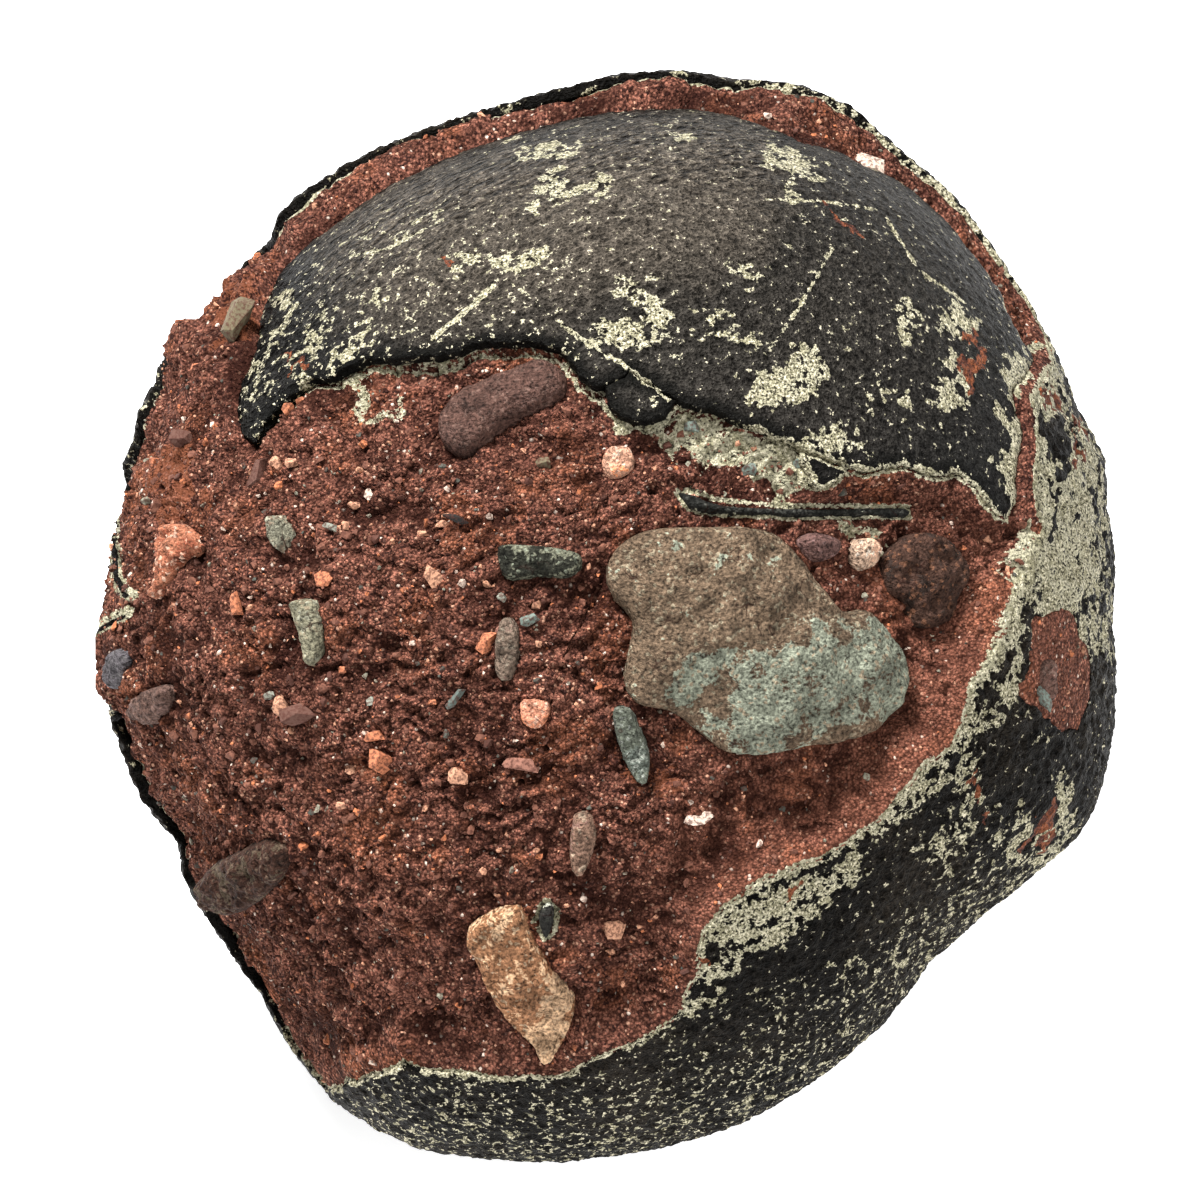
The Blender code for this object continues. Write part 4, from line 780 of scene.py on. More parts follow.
def inside(points, loop):
    """Which points of the plane lie inside a closed loop; they are sorted by y to find each side's own."""
    order = np.argsort(points[:, 1])
    x, y = points[order].T
    ends = np.roll(loop, -1, axis=0)
    firsts = np.searchsorted(y, np.minimum(loop[:, 1], ends[:, 1]))
    lasts = np.searchsorted(y, np.maximum(loop[:, 1], ends[:, 1]))
    crossed = np.zeros(len(points), bool)
    for side in np.nonzero(firsts < lasts)[0]:
        beside = slice(firsts[side], lasts[side])
        (ax, ay), (bx, by) = loop[side], ends[side]
        crossed[beside] ^= x[beside] < ax + (y[beside] - ay) * (bx - ax) / (by - ay)
    found = np.zeros(len(points), bool)
    found[order] = crossed
    return found


def within(directions, loop):
    return inside(to_plane(directions), to_plane(loop))


class Edge:
    """Finds how far directions lie from a line, in millimetres along the surface."""

    def __init__(self, loop, closed=True):
        ends = np.roll(loop, -1, axis=0) if closed else loop[1:]
        dense = [start + (end - start) * share
                 for start, end in zip(loop, ends) for share in np.arange(0, 1, self.share(start, end))]
        self.tree = kdtree.KDTree(len(dense))
        for index, point in enumerate(dense):
            self.tree.insert(point, index)
        self.tree.balance()

    @staticmethod
    def share(start, end):
        """The share of a side between two points that are about NEAR_STEP apart."""
        return 1.0 / max(1, math.ceil(MEAN_RADIUS * float(np.linalg.norm(end - start)) / NEAR_STEP))

    def away(self, directions):
        return MEAN_RADIUS * np.array([self.tree.find(p)[2] for p in directions.tolist()])


def spiral(step):
    """Evenly spread directions all round, about so many millimetres apart."""
    count = int(4 * math.pi * MEAN_RADIUS**2 / (step**2 * math.sqrt(3) / 2))
    index = np.arange(count) + 0.5
    w = 1.0 - 2.0 * index / count
    turn = index * math.pi * (3.0 - math.sqrt(5.0))
    aside = np.sqrt(1.0 - w * w)
    return np.column_stack([np.cos(turn) * aside, np.sin(turn) * aside, w])


def net(free, loops):
    """Triangles over free directions and closed loops, whose sides are kept as edges.

    Returns the directions, with the loops' points first, and the triangles, facing outwards."""
    points = np.vstack([*loops, free])
    edges = []
    first = 0
    for loop in loops:
        count = len(loop)
        edges += [(first + i, first + (i + 1) % count) for i in range(count)]
        first += count
    flat = [Vector(p) for p in to_plane(points)]
    placed, _, faces, _, _, _ = delaunay_2d_cdt(flat, edges, [], 0, HAIR)
    if len(placed) != len(points):
        raise ValueError(f"outlines cross or touch: {len(placed)} points from {len(points)}")
    return from_plane(np.array([tuple(p) for p in placed])), np.array(faces)


def closed_behind(directions, triangles):
    """Adds the direction straight behind, where the plane of the net doesn't reach."""
    sides = {(a, b) for tri in triangles.tolist() for a, b in zip(tri, tri[1:] + tri[:1])}
    pole = len(directions)
    fan = [(b, a, pole) for a, b in sides if (b, a) not in sides]
    return np.vstack([directions, [0.0, 0.0, -1.0]]), np.vstack([triangles, sorted(fan)])


def middles(directions, triangles):
    """The directions of the triangles' middles, as the plane of the net has them."""
    return to_plane(directions)[triangles].mean(axis=1)


# ------------------------------------------------------------------ making objects
def upright(points):
    """Points of the face frame in metres, set upright on the flat spot."""
    x, y, w = points.T
    sine = math.sin(FACE_TILT)
    cosine = math.cos(FACE_TILT)
    return (np.column_stack([x, y * sine - w * cosine, y * cosine + w * sine]) + MIDDLE) * MM


def add_object(name, points, faces, finish, smooth=True):
    mesh = bpy.data.meshes.new(name)
    mesh.from_pydata(upright(points).tolist(), [], faces)
    mesh.materials.append(finish)
    mesh.validate()
    if smooth:
        mesh.shade_smooth()
    made = bpy.data.objects.new(name, mesh)
    bpy.context.scene.collection.objects.link(made)
    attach(made, "root")
    return made


def set_field(made, name, values):
    """Stores a number for each point of a mesh, for its finish to read."""
    made.data.attributes.new(name, "FLOAT", "POINT").data.foreach_set("value", values.astype(np.float32))


def wandered(places, directions):
    """Places (x, y) moved about a little, so that a mark painted there gets a ragged outline."""
    shift = np.zeros_like(directions)
    for size, reach in PATCH_WANDER:
        spots = (directions * (MEAN_RADIUS / size)).tolist()
        shift += np.array([noise.noise_vector(p) for p in spots]) * reach
    return places + shift[:, :2]


def painted(places, strokes):
    """A share for each (x, y) of the face from strokes: each a strength, a width and its line's points."""
    share = np.zeros(len(places))
    for strength, width, points in strokes:
        line = np.array(points, float)
        away = np.full(len(places), np.inf)
        for start, end in zip(line, line[1:] if len(line) > 1 else line):
            side = end - start
            along = np.clip((places - start) @ side / max(side @ side, TINY), 0.0, 1.0)
            away = np.minimum(away, np.linalg.norm(places - start - along[:, None] * side, axis=1))
        share = np.maximum(share, strength * faded(away, width, STROKE_FULL))
    return share


def rind(away, width, least):
    """The share of pale rind along an edge, for widths in millimetres; one below the least is faint."""
    return RIND_STRENGTH * faded(away, np.maximum(width, NO_RIND), RIND_FULL) * smoothstep(width / least)


# ------------------------------------------------------------------ finishes
class Finish:
    """A Principled material whose colour, roughness and bump come from nodes; sizes are in millimetres."""

    def __init__(self, name, roughness, gloss):
        self.material = bpy.data.materials.new(name)
        self.material.use_nodes = True
        self.tree = self.material.node_tree
        self.shader = self.tree.nodes["Principled BSDF"]
        self.shader.inputs["Roughness"].default_value = roughness
        self.shader.inputs["Specular IOR Level"].default_value = gloss
        self.place = self.add("ShaderNodeTexCoord").outputs["Object"]

    def add(self, kind, inputs=(), **settings):
        node = self.tree.nodes.new(kind)
        for key, value in settings.items():
            setattr(node, key, value)
        for key, value in dict(inputs).items():
            if isinstance(value, bpy.types.NodeSocket):
                self.tree.links.new(value, node.inputs[key])
            else:
                node.inputs[key].default_value = value
        return node

    def field(self, name):
        return self.add("ShaderNodeAttribute", attribute_name=name).outputs["Fac"]

    def noise(self, size, detail):
        inputs = {"Vector": self.place, "Scale": 1.0 / (size * MM), "Detail": detail,
                  "Roughness": NOISE_ROUGHNESS}
        return self.add("ShaderNodeTexNoise", inputs).outputs["Fac"]

    def ripples(self, size, detail):
        """A noise that is drawn out along the sunken shell's upper edge."""
        turned = {"Vector": self.place, "Rotation": (0.0, 0.0, RIPPLE_TURN),
                  "Scale": (RIPPLE_LENGTH, 1.0, 1.0)}
        drawn = self.add("ShaderNodeMapping", turned, vector_type="TEXTURE").outputs["Vector"]
        inputs = {"Vector": drawn, "Scale": 1.0 / (size * MM), "Detail": detail}
        return self.add("ShaderNodeTexNoise", inputs).outputs["Fac"]

    def cells(self, size):
        """Grains: how far a place is from its grain's middle, and a random number for the grain."""
        inputs = {"Vector": self.place, "Scale": 1.0 / (size * MM)}
        node = self.add("ShaderNodeTexVoronoi", inputs)
        chance = self.add("ShaderNodeSeparateColor", {"Color": node.outputs["Color"]}).outputs["Red"]
        return node.outputs["Distance"], chance

    def ramp(self, value, low, high):
        """A smooth step from 0 at low to 1 at high."""
        inputs = {"Value": value, "From Min": low, "From Max": high}
        return self.add("ShaderNodeMapRange", inputs, interpolation_type="SMOOTHSTEP").outputs["Result"]

    def math(self, operation, first, second):
        return self.add("ShaderNodeMath", {0: first, 1: second}, operation=operation).outputs["Value"]

    def part(self, value, share):
        """A share of a value."""
        return self.math("MULTIPLY", value, share)

    def mix(self, share, first, second):
        """A colour between two colours."""
        inputs = {"Factor": share}
        for key, colour in ((6, first), (7, second)):
            inputs[key] = colour if isinstance(colour, bpy.types.NodeSocket) else (*colour, 1.0)
        return self.add("ShaderNodeMix", inputs, data_type="RGBA").outputs[2]

    def mottled(self, colour, value, low, high):
        """A colour that is darker or brighter with a noise, by factors from low to high."""
        ends = dict(zip(("From Min", "From Max", "To Min", "To Max"), (*NOISE_RANGE, low, high)))
        inputs = {**ends, "Value": value}
        scaled = {0: colour, "Scale": self.add("ShaderNodeMapRange", inputs).outputs["Result"]}
        return self.add("ShaderNodeVectorMath", scaled, operation="SCALE").outputs["Vector"]

    def cracks(self):
        """A mask of fine wandering cracks, in places."""
        line = self.math("ABSOLUTE", self.math("SUBTRACT", self.noise(*CRACKS), 0.5), 0.0)
        return self.part(self.ramp(line, CRACK_WIDTH, 0.0), self.ramp(self.noise(*CRACK_PLACES), 0.45, 0.6))

    def ragged(self, share, noises):
        """A mask over about the given share of the surface, its edges broken up by some (noise, strength)."""
        for wander, strength in noises:
            share = self.math("ADD", share, self.part(self.math("SUBTRACT", wander, 0.5), strength))
        return self.ramp(share, *MASK_RANGE)

    def done(self, colour, height, depth):
        """Links the colour and a bump that is so many millimetres high."""
        self.tree.links.new(colour, self.shader.inputs["Base Color"])
        bump = self.add("ShaderNodeBump", {"Height": height, "Distance": depth * MM, "Strength": 1.0})
        self.tree.links.new(bump.outputs["Normal"], self.shader.inputs["Normal"])
        return self.material


def crust_colour(look, broad, fine):
    """The pale green-grey crust, with darker pores and cream grains."""
    crust = look.mix(look.ramp(broad, low=0.4, high=0.6), CRUST_PALE, CRUST_DEEP)
    crust = look.mix(look.ramp(fine, low=0.52, high=0.66), crust, CRUST_CREAM)
    return look.mix(look.ramp(fine, low=0.45, high=0.36), crust, CRUST_PORE)


def shell_finish(name, dark, warm, sheen, rippled=False):
    """Dark eggshell with fine granules; its fields say where pale crust is, how many pale grains, and where
    the edges are painted dark with their own black and painted shade.
    """
    look = Finish(name, *sheen)
    broad = look.noise(*SHELL_BROAD)
    fine = look.noise(*SHELL_FINE)
    tiny = look.noise(*SHELL_TINY)
    height = look.math("ADD", fine, look.part(tiny, 0.5))
    # On the sunken shell the warm colour holds a painted sheen as well as a warm tint.
    base = look.mix(look.field("warmth"), dark, warm)
    base = look.mottled(look.mottled(base, fine, low=0.2, high=1.8), tiny, low=0.3, high=1.7)
    if rippled:
        # The ripples' ridges are painted lighter and their troughs darker: painted sheen and shade on the
        # ripples, beside their bump.
        ripples = look.part(look.math("SUBTRACT", look.ripples(*SHELL_RIPPLES), 0.5), look.field("ripple"))
        base = look.mottled(base, look.math("ADD", ripples, 0.5), low=0.0, high=2.0)
        height = look.math("ADD", height, look.part(ripples, 2.0))
    # Painted dark along the broken edges, partly the shell's own black and partly painted shade.
    base = look.mix(look.part(look.field("dark_edge_and_shade"), 0.85), base, EDGE_BLACK_AND_SHADE)
    patches = look.ragged(look.field("crust"), [(broad, 1.6), (fine, 1.9)])
    specks = look.ragged(look.field("grains"), [(tiny, 0.6), (fine, 2.3)])
    mask = look.math("MAXIMUM", patches, specks)
    base = look.mix(mask, base, crust_colour(look, broad, tiny))
    stone = look.mix(look.ramp(fine, low=0.4, high=0.6), MATRIX_DARK, STAIN)
    stone = look.mottled(stone, tiny, low=0.4, high=1.5)
    base = look.mix(look.ragged(look.field("stain"), [(broad, 0.6), (fine, 0.8)]), base, stone)
    return look.done(base, height, SHELL_DEPTH)


def matrix_finish():
    """Red-brown sandstone: grit in many tones, broad stains, the crust that the shell left on it, and painted
    shade between the grains and in the hollows.
    """
    look = Finish("matrix", *MATRIX_SHEEN)
    broad = look.noise(*MATRIX_BROAD)
    fine = look.noise(*MATRIX_FINE)
    distance, chance = look.cells(MATRIX_GRIT)
    base = look.mix(look.ramp(fine, low=0.35, high=0.65), MATRIX_DARK, MATRIX_LIGHT)
    blotches = look.ramp(look.noise(*MATRIX_BLOTCHES), low=0.52, high=0.64)
    base = look.mix(look.part(blotches, 0.4), base, MATRIX_ORANGE)
    base = look.mottled(look.mottled(base, broad, low=0.5, high=1.5), chance, low=0.6, high=1.4)
    for tone, low, high in MATRIX_GRAINS:
        base = look.mix(look.ramp(chance, low, high), base, tone)
    base = look.mix(look.part(look.field("warmth"), 0.3), base, MATRIX_WARM)
    # Painted shade: darker towards the edge of each grain, and in the hollows of the relief.
    base = look.mix(look.part(look.ramp(distance, low=0.3, high=0.8), 0.7), base, CREVICE_SHADE)
    base = look.mix(look.part(look.field("hollow_shade"), 0.85), base, CREVICE_SHADE)
    stain = look.ragged(look.field("stain"), [(broad, 0.9), (fine, 0.9)])
    base = look.mix(look.part(stain, 0.55), base, STAIN)
    mask = look.ragged(look.field("crust"), [(broad, 1.1), (fine, 1.3)])
    base = look.mix(mask, base, crust_colour(look, broad, fine))
    base = look.mix(look.ragged(look.field("shell"), [(broad, 0.7), (fine, 0.8)]), base, SHELL_DARK)
    return look.done(base, look.math("SUBTRACT", fine, look.part(distance, 0.6)), MATRIX_DEPTH)


def stone_finish(name, first, second, spot, rough, grit, depth):
    """A stone of two tones, whose field "tint" says how much of the second, with grains of a third."""
    look = Finish(name, rough, STONE_GLOSS)
    broad = look.noise(*STONE_BROAD)
    fine = look.noise(grit, STONE_OCTAVES)
    distance, chance = look.cells(grit)
    base = look.mix(look.ragged(look.field("tint"), [(broad, 1.8), (fine, 0.9)]), first, second)
    base = look.mix(look.ramp(chance, low=0.86, high=0.92), base, spot)
    base = look.mottled(look.mottled(base, fine, low=0.15, high=1.85), broad, low=0.55, high=1.45)
    # The cracks are painted dark with the crevices' colour: painted shade in the cracks.
    base = look.mix(look.part(look.cracks(), 0.8), base, CREVICE_SHADE)
    return look.done(base, look.math("SUBTRACT", fine, look.part(distance, 0.4)), depth)


def grain_finish():
    """Grains coloured by their own tone, dusted with the matrix."""
    look = Finish("grains", *GRAIN_SHEEN)
    tone = look.add("ShaderNodeAttribute", attribute_name="tone").outputs["Color"]
    fine = look.noise(*GRAIN_DUST)
    colour = look.mix(look.part(look.ramp(fine, low=0.4, high=0.65), 0.8), tone, MATRIX_DARK)
    return look.done(colour, fine, GRAIN_DEPTH)


# ------------------------------------------------------------------ the pieces
def sheet(name, loops, tops, bottoms, top, bottom, kept, finish, all_round=False):
    """A closed piece between two surfaces, with broken walls round its loops.

    Each surface has free directions of its own.  Returns the piece, the directions and radii of its top's
    points, and for each of the piece's points the top's point whose marks it shares, or -1."""
    nets = []
    for free in (tops, bottoms):
        directions, triangles = net(free, loops)
        if all_round:
            directions, triangles = closed_behind(directions, triangles)
        nets.append((directions, triangles[kept(middles(directions, triangles))]))
    (upper, upper_faces), (lower, lower_faces) = nets
    high = top(upper)
    low = bottom(lower)
    points = [upper * high[:, None], lower * low[:, None]]
    faces = upper_faces.tolist() + (lower_faces[:, ::-1] + len(upper)).tolist()
    sides = {(a, b) for tri in upper_faces.tolist() for a, b in zip(tri, tri[1:] + tri[:1])}
    count = len(upper) + len(lower)
    sources = [np.arange(len(upper)), np.full(len(lower), -1)]
    first = 0
    for loop in loops:
        ring = np.arange(first, first + len(loop))
        sources[1][ring] = ring
        sources += [ring] * (WALL_ROWS - 1)
        rows = [ring]
        for share in np.arange(1, WALL_ROWS) / WALL_ROWS:
            out = WALL_ROUGH * noise_at(loop, WALL_BUMP, WALL_SEEDS[0] + WALL_SEEDS[1] * share)
            radii = high[ring] * (1 - share) + low[ring] * share
            points.append(moved_out(loop, out) * radii[:, None])
            rows.append(count + np.arange(len(loop)))
            count += len(loop)
        rows.append(len(upper) + ring)
        turned = (ring[0], ring[1]) in sides
        for above, below in zip(rows, rows[1:]):
            for a, b, c, d in zip(above, np.roll(above, -1), below, np.roll(below, -1)):
                faces.append((b, a, c, d) if turned else (a, b, d, c))
        first += len(loop)
    return add_object(name, np.vstack(points), faces, finish), upper, high, np.concatenate(sources)


def store_fields(made, sources, fields, wall_dark_and_shade=None):
    """Stores a sheet's fields; its walls share those of their top edge, apart from their painted dark edge
    and shade.
    """
    for name, values in fields.items():
        spread_values = np.where(sources < 0, 0.0, values[sources])
        if name == "dark_edge_and_shade" and wall_dark_and_shade is not None:
            spread_values[len(values):] = wall_dark_and_shade
        set_field(made, name, spread_values)


def shell_relief(directions, height):
    """The shell's granules, none of which stands above the surface that the shell has without them."""
    return height * np.minimum(rough_at(directions, SHELL_GRAIN, GRANULE_SEED) - GRANULE_SINK, 0.0)


def build_outer_shell(opening, window):
    """The shell round the sides and the back, dark and grained, with its crust and its pale broken edge."""
    edge = Edge(opening)
    window_edge = Edge(window)

    def away_from(directions):
        return np.minimum(edge.away(directions), window_edge.away(directions))

    def clear(step, front):
        found = spiral(step)
        found = found[(found[:, 2] > FRONT_REACH) == front]
        found = found[~within(found, opening) & ~within(found, window)]
        return found[away_from(found) > step * CLEAR]

    def top(directions):
        drop = EDGE_DROP * np.exp(-away_from(directions) / EDGE_ROUND)
        return body_radius(directions) + shell_relief(directions, OUTER_RELIEF) - drop

    def bottom(directions):
        return body_radius(directions) - SHELL

    def kept(plane):
        return ~inside(plane, to_plane(opening)) & ~inside(plane, to_plane(window))

    tops = np.vstack([clear(SHELL_STEP, True), clear(BACK_STEP, False)])
    bottoms = np.vstack([clear(HIDDEN_STEP, True), clear(HIDDEN_STEP, False)])
    finish = shell_finish("outer_shell", SHELL_DARK, SHELL_WARM, OUTER_SHEEN)
    made, directions, radii, sources = sheet(
        "egg_outer_shell", [opening, window], tops, bottoms, top, bottom, kept, finish, all_round=True)
    places = directions[:, :2] * radii[:, None]
    ragged_places = wandered(places, directions)
    front = smoothstep((directions[:, 2] - FRONT_REACH) / FRONT_FADE)
    crust = rind(edge.away(directions), spread(RIND_WIDTHS, directions), OUTER_LEAST_RIND)
    crust = np.maximum(painted(ragged_places, OUTER_CRUST), crust) * (1 - painted(ragged_places, OUTER_BARE))
    broad = smoothstep(rough_at(directions, TONE_SIZE, TONE_SEED) + TONE_LEAN)
    fields = {
        "crust": crust * front + np.interp(broad, (0, 1), BACK_CRUST) * (1 - front),
        "grains": painted(places, OUTER_GRAINS) * front + np.interp(broad, (0, 1), BACK_GRAINS) * (1 - front),
        "stain": painted(ragged_places, OUTER_STAIN) * front,
        "warmth": broad,
        "dark_edge_and_shade": np.zeros(len(places)),
    }
    store_fields(made, sources, fields, OUTER_WALL_DARK_AND_SHADE)
    return made


def build_sunken_piece(name, outline, finish):
    """A piece of the sunken shell: an even thickness, a broken edge, pale crust patches and scratches."""
    loop = broken(loop_of(outline, sunken_radius))
    edge = Edge(loop)

    def clear(step):
        found = spiral(step)
        found = found[within(found, loop)]
        return found[edge.away(found) > step * CLEAR]

    def top(directions):
        drop = BROW_DROP * np.exp(-edge.away(directions) / BROW_ROUND)
        return sunken_radius(directions) + shell_relief(directions, SUNKEN_RELIEF) - drop

    def bottom(directions):
        return sunken_radius(directions) - SHELL

    def kept(plane):
        return inside(plane, to_plane(loop))

    made, directions, radii, sources = sheet(
        "egg_" + name, [loop], clear(PLATE_STEP), clear(HIDDEN_STEP), top, bottom, kept, finish)
    places = directions[:, :2] * radii[:, None]
    ragged_places = wandered(places, directions)
    below_crest = 1.0 - painted(places, CREST_LINE)
    edge_rind = rind(edge.away(directions), spread(SUNKEN_RINDS, directions), SUNKEN_LEAST_RIND)
    crust = np.maximum(painted(ragged_places, SUNKEN_CRUST), painted(places, SUNKEN_LINES))
    fields = {
        "crust": np.maximum(crust, edge_rind),
        "grains": painted(places, SUNKEN_GRAINS),
        "stain": painted(ragged_places, SUNKEN_STAIN),
        # Its warmth is a warm tint and a painted sheen.
        "warmth": painted(ragged_places, SUNKEN_WARMTH_AND_SHEEN),
        "ripple": painted(places, SUNKEN_RIPPLES),
        # The strip along the lower edge is painted dark: partly the shell's own black edge, partly painted
        # shade.
        "dark_edge_and_shade": faded(edge.away(directions), DARK_EDGE_WIDTH, STROKE_FULL) * below_crest,
    }
    store_fields(made, sources, fields, SUNKEN_WALL_DARK_AND_SHADE)
    return made


class Matrix:
    """The stone filling's visible surface: lumps, ledges, grit, the beds of the shell and the stones."""

    def __init__(self, opening, window):
        self.opening = opening
        self.window = window
        self.stones = []
        self.edge = Edge(opening)
        self.window_edge = Edge(window)
        self.seat = broken(loop_of(CREST + BROW, sunken_radius))
        self.seat_edge = Edge(self.seat)
        self.brow = Edge(broken(loop_of(BROW, sunken_radius), closed=False), closed=False)

    def level(self, directions):
        """The broken face without its relief: it rises to the shell's edge and runs on under the shell."""
        body = body_radius(directions)
        away = self.edge.away(directions)
        away = np.where(within(directions, self.opening), away, -away)
        rim = spread(RIM_DEPTHS, directions)
        depth = rim + (spread(FACE_DEPTHS, directions) - rim) * smoothstep(away / EDGE_SLOPE)
        depth = np.where(away < -LAP, SHELL + GAP, depth)
        in_window = within(directions, self.window) | (self.window_edge.away(directions) < LAP)
        return body - np.where(in_window, WINDOW_DEPTH, depth)

    def relief(self, directions):
        """The face's lumps, ledges, grit and pits."""
        lumps = two_noises(directions, RELIEF_SIZE, RELIEF_SEEDS)
        along = directions[:, 0] * math.cos(BEDDING) + directions[:, 1] * math.sin(BEDDING)
        across = directions[:, 1] * math.cos(BEDDING) - directions[:, 0] * math.sin(BEDDING)
        drawn = np.column_stack([along * DRAWN_OUT, across, directions[:, 2]])
        bend = LEDGE_BEND * rough_at(drawn, LEDGE_BEND_SIZE, LEDGE_SEEDS[0])
        rise = across * MEAN_RADIUS / LEDGE_SIZE + bend
        cover = smoothstep(noise_at(drawn, LEDGE_BEND_SIZE, LEDGE_SEEDS[1]) * LEDGE_CONTRAST + LEDGE_COVER)
        ledge = (1.0 - rise % 1.0) * cover
        grit = rough_at(directions, GRIT_SIZE, GRIT_SEED, FINE_OCTAVES)
        crumbs = two_noises(directions, CRUMB_SIZE, CRUMB_SEEDS, np.abs) - CRUMB_MEAN
        pits = smoothstep((noise_at(drawn, PIT_SIZE, PIT_SEED) - PIT_START) / (PIT_FULL - PIT_START))
        return RELIEF * lumps + LEDGE * (ledge - 0.5) + CRUMB * crumbs + GRIT * grit - PIT * pits

    def radius(self, directions):
        """The visible surface, and how deep each place lies in the relief, as a share that sets the painted
        shade in its hollows.
        """
        level = self.level(directions)
        freedom = smoothstep((body_radius(directions) - level) / FREE_DEPTH)
        relief = self.relief(directions) * freedom
        radius = level + relief
        for stone in self.stones:
            near = within(directions, stone.loop)
            if near.any():
                away = stone.edge.away(directions[near])
                floor = level[near] - stone.sink * smoothstep(away / BED_SLOPE)
                radius[near] = np.minimum(radius[near], floor)
        seated = within(directions, self.seat)
        bed = sunken_radius(directions) - SHELL - GAP
        away = self.brow.away(directions)
        kept_down = bed + BROW_RISE * smoothstep(away / BROW_REACH)
        radius = np.where(~seated & (away < BROW_REACH), np.minimum(radius, kept_down), radius)
        flush = spread(BROW_FLUSH, directions) * faded(away, BROW_REACH, STROKE_FULL)
        radius = radius + (bed + SHELL + relief * FLUSH_RELIEF - radius) * flush
        radius = np.minimum(radius, LEFT_REACH / np.maximum(-directions[:, 0], TINY))
        return np.where(seated, bed, radius), smoothstep(-relief / HOLLOW_SHADE_DEPTH)

    def shown(self, directions, margin):
        """Which directions of the surface can be seen, or lie within a margin of those."""
        open_part = within(directions, moved_out(self.opening, margin)) | within(directions, self.window)
        covered = within(directions, self.seat) & (self.seat_edge.away(directions) > margin)
        return open_part & ~covered

    def build(self):
        fine = spiral(MATRIX_STEP)
        fine = fine[self.shown(fine, SHOWN_MARGIN)]
        coarse = spiral(HIDDEN_STEP)
        coarse = coarse[~self.shown(coarse, SHOWN_MARGIN + HIDDEN_STEP / 2)]
        first = unit(np.array(FIRST_TRIANGLE))
        directions, triangles = closed_behind(*net(np.vstack([fine, coarse]), [first]))
        radii, hollow_shade = self.radius(directions)
        made = add_object("egg_matrix", directions * radii[:, None], triangles.tolist(), matrix_finish())
        straight = directions[:, :2] * radii[:, None]
        places = wandered(straight, directions)
        edge_rind = rind(self.edge.away(directions), spread(MATRIX_RINDS, directions), MATRIX_LEAST_RIND)
        from_brow = np.abs(self.brow.away(directions) - BROW_RIND_AWAY)
        brow_rind = RIND_STRENGTH * faded(from_brow, BROW_RIND, RIND_FULL)
        marks = {
            "crust": np.maximum.reduce([
                painted(places, MATRIX_CRUST), painted(straight, MATRIX_LINES), edge_rind, brow_rind]),
            "shell": painted(straight, MATRIX_SHELL),
            "stain": painted(places, MATRIX_STAIN),
            "warmth": painted(straight, MATRIX_WARMTH),
        }
        for name, values in marks.items():
            set_field(made, name, values * (directions[:, 2] > MARKS_REACH))
        set_field(made, "hollow_shade", hollow_shade)
        return made


class Stone:
    """One stone, or one bit of shell, bedded in the broken face."""

    def __init__(self, row, level):
        self.name, outline, self.lift, self.bulge, self.sink = row
        self.level = level
        self.loop = loop_of(curve_through(np.array(outline, float), CURVE_PIECES), level)
        self.edge = Edge(self.loop)

    def build(self):
        look = STONE_LOOKS[self.name]
        step = STONE_STEP if self.name == "large_pebble" else SMALL_STONE_STEP
        free = spiral(step)
        free = free[within(free, self.loop)]
        away = self.edge.away(free)
        deepest = max(away.max(), LEAST_HALF_WIDTH)
        free = free[away > step * STONE_CLEAR]

        def top(directions):
            away = self.edge.away(directions)
            relief = look["relief"] * rough_at(directions, look["size"], STONE_SEED, FINE_OCTAVES)
            raised = (self.lift + RIM_SINK + relief) * dome(away / look["edge"])
            raised += self.bulge * dome(away / deepest)
            return self.level(directions) - RIM_SINK + raised

        def bottom(directions):
            return self.level(directions) - self.sink

        def kept(plane):
            return inside(plane, to_plane(self.loop))

        keys = ("first", "second", "spot", "rough", "grit", "depth")
        finish = stone_finish(self.name, *(look[key] for key in keys))
        hidden = free[::STONE_THINNING]
        made, directions, radii, sources = sheet(
            "egg_" + self.name, [self.loop], free, hidden, top, bottom, kept, finish)
        places = wandered(directions[:, :2] * radii[:, None], directions)
        tint = np.maximum(np.full(len(places), look["tint"]), painted(places, look["marks"]))
        store_fields(made, sources, {"tint": tint})
        return made


def grain_shapes(rng):
    """A few angular grains, each as points within 1 of the middle and triangles."""
    shapes = []
    for _ in range(GRAIN_SHAPES):
        points = unit(rng.normal(size=(GRAIN_CORNERS, 3))) * rng.uniform(*CORNER_RANGE, (GRAIN_CORNERS, 1))
        hull = bmesh.new()
        for point in points:
            hull.verts.new(point)
        bmesh.ops.convex_hull(hull, input=hull.verts)
        for loose in [v for v in hull.verts if not v.link_faces]:
            hull.verts.remove(loose)
        hull.verts.index_update()
        faces = [[corner.index for corner in face.verts] for face in hull.faces]
        shapes.append((np.array([corner.co for corner in hull.verts]), faces))
        hull.free()
    return shapes


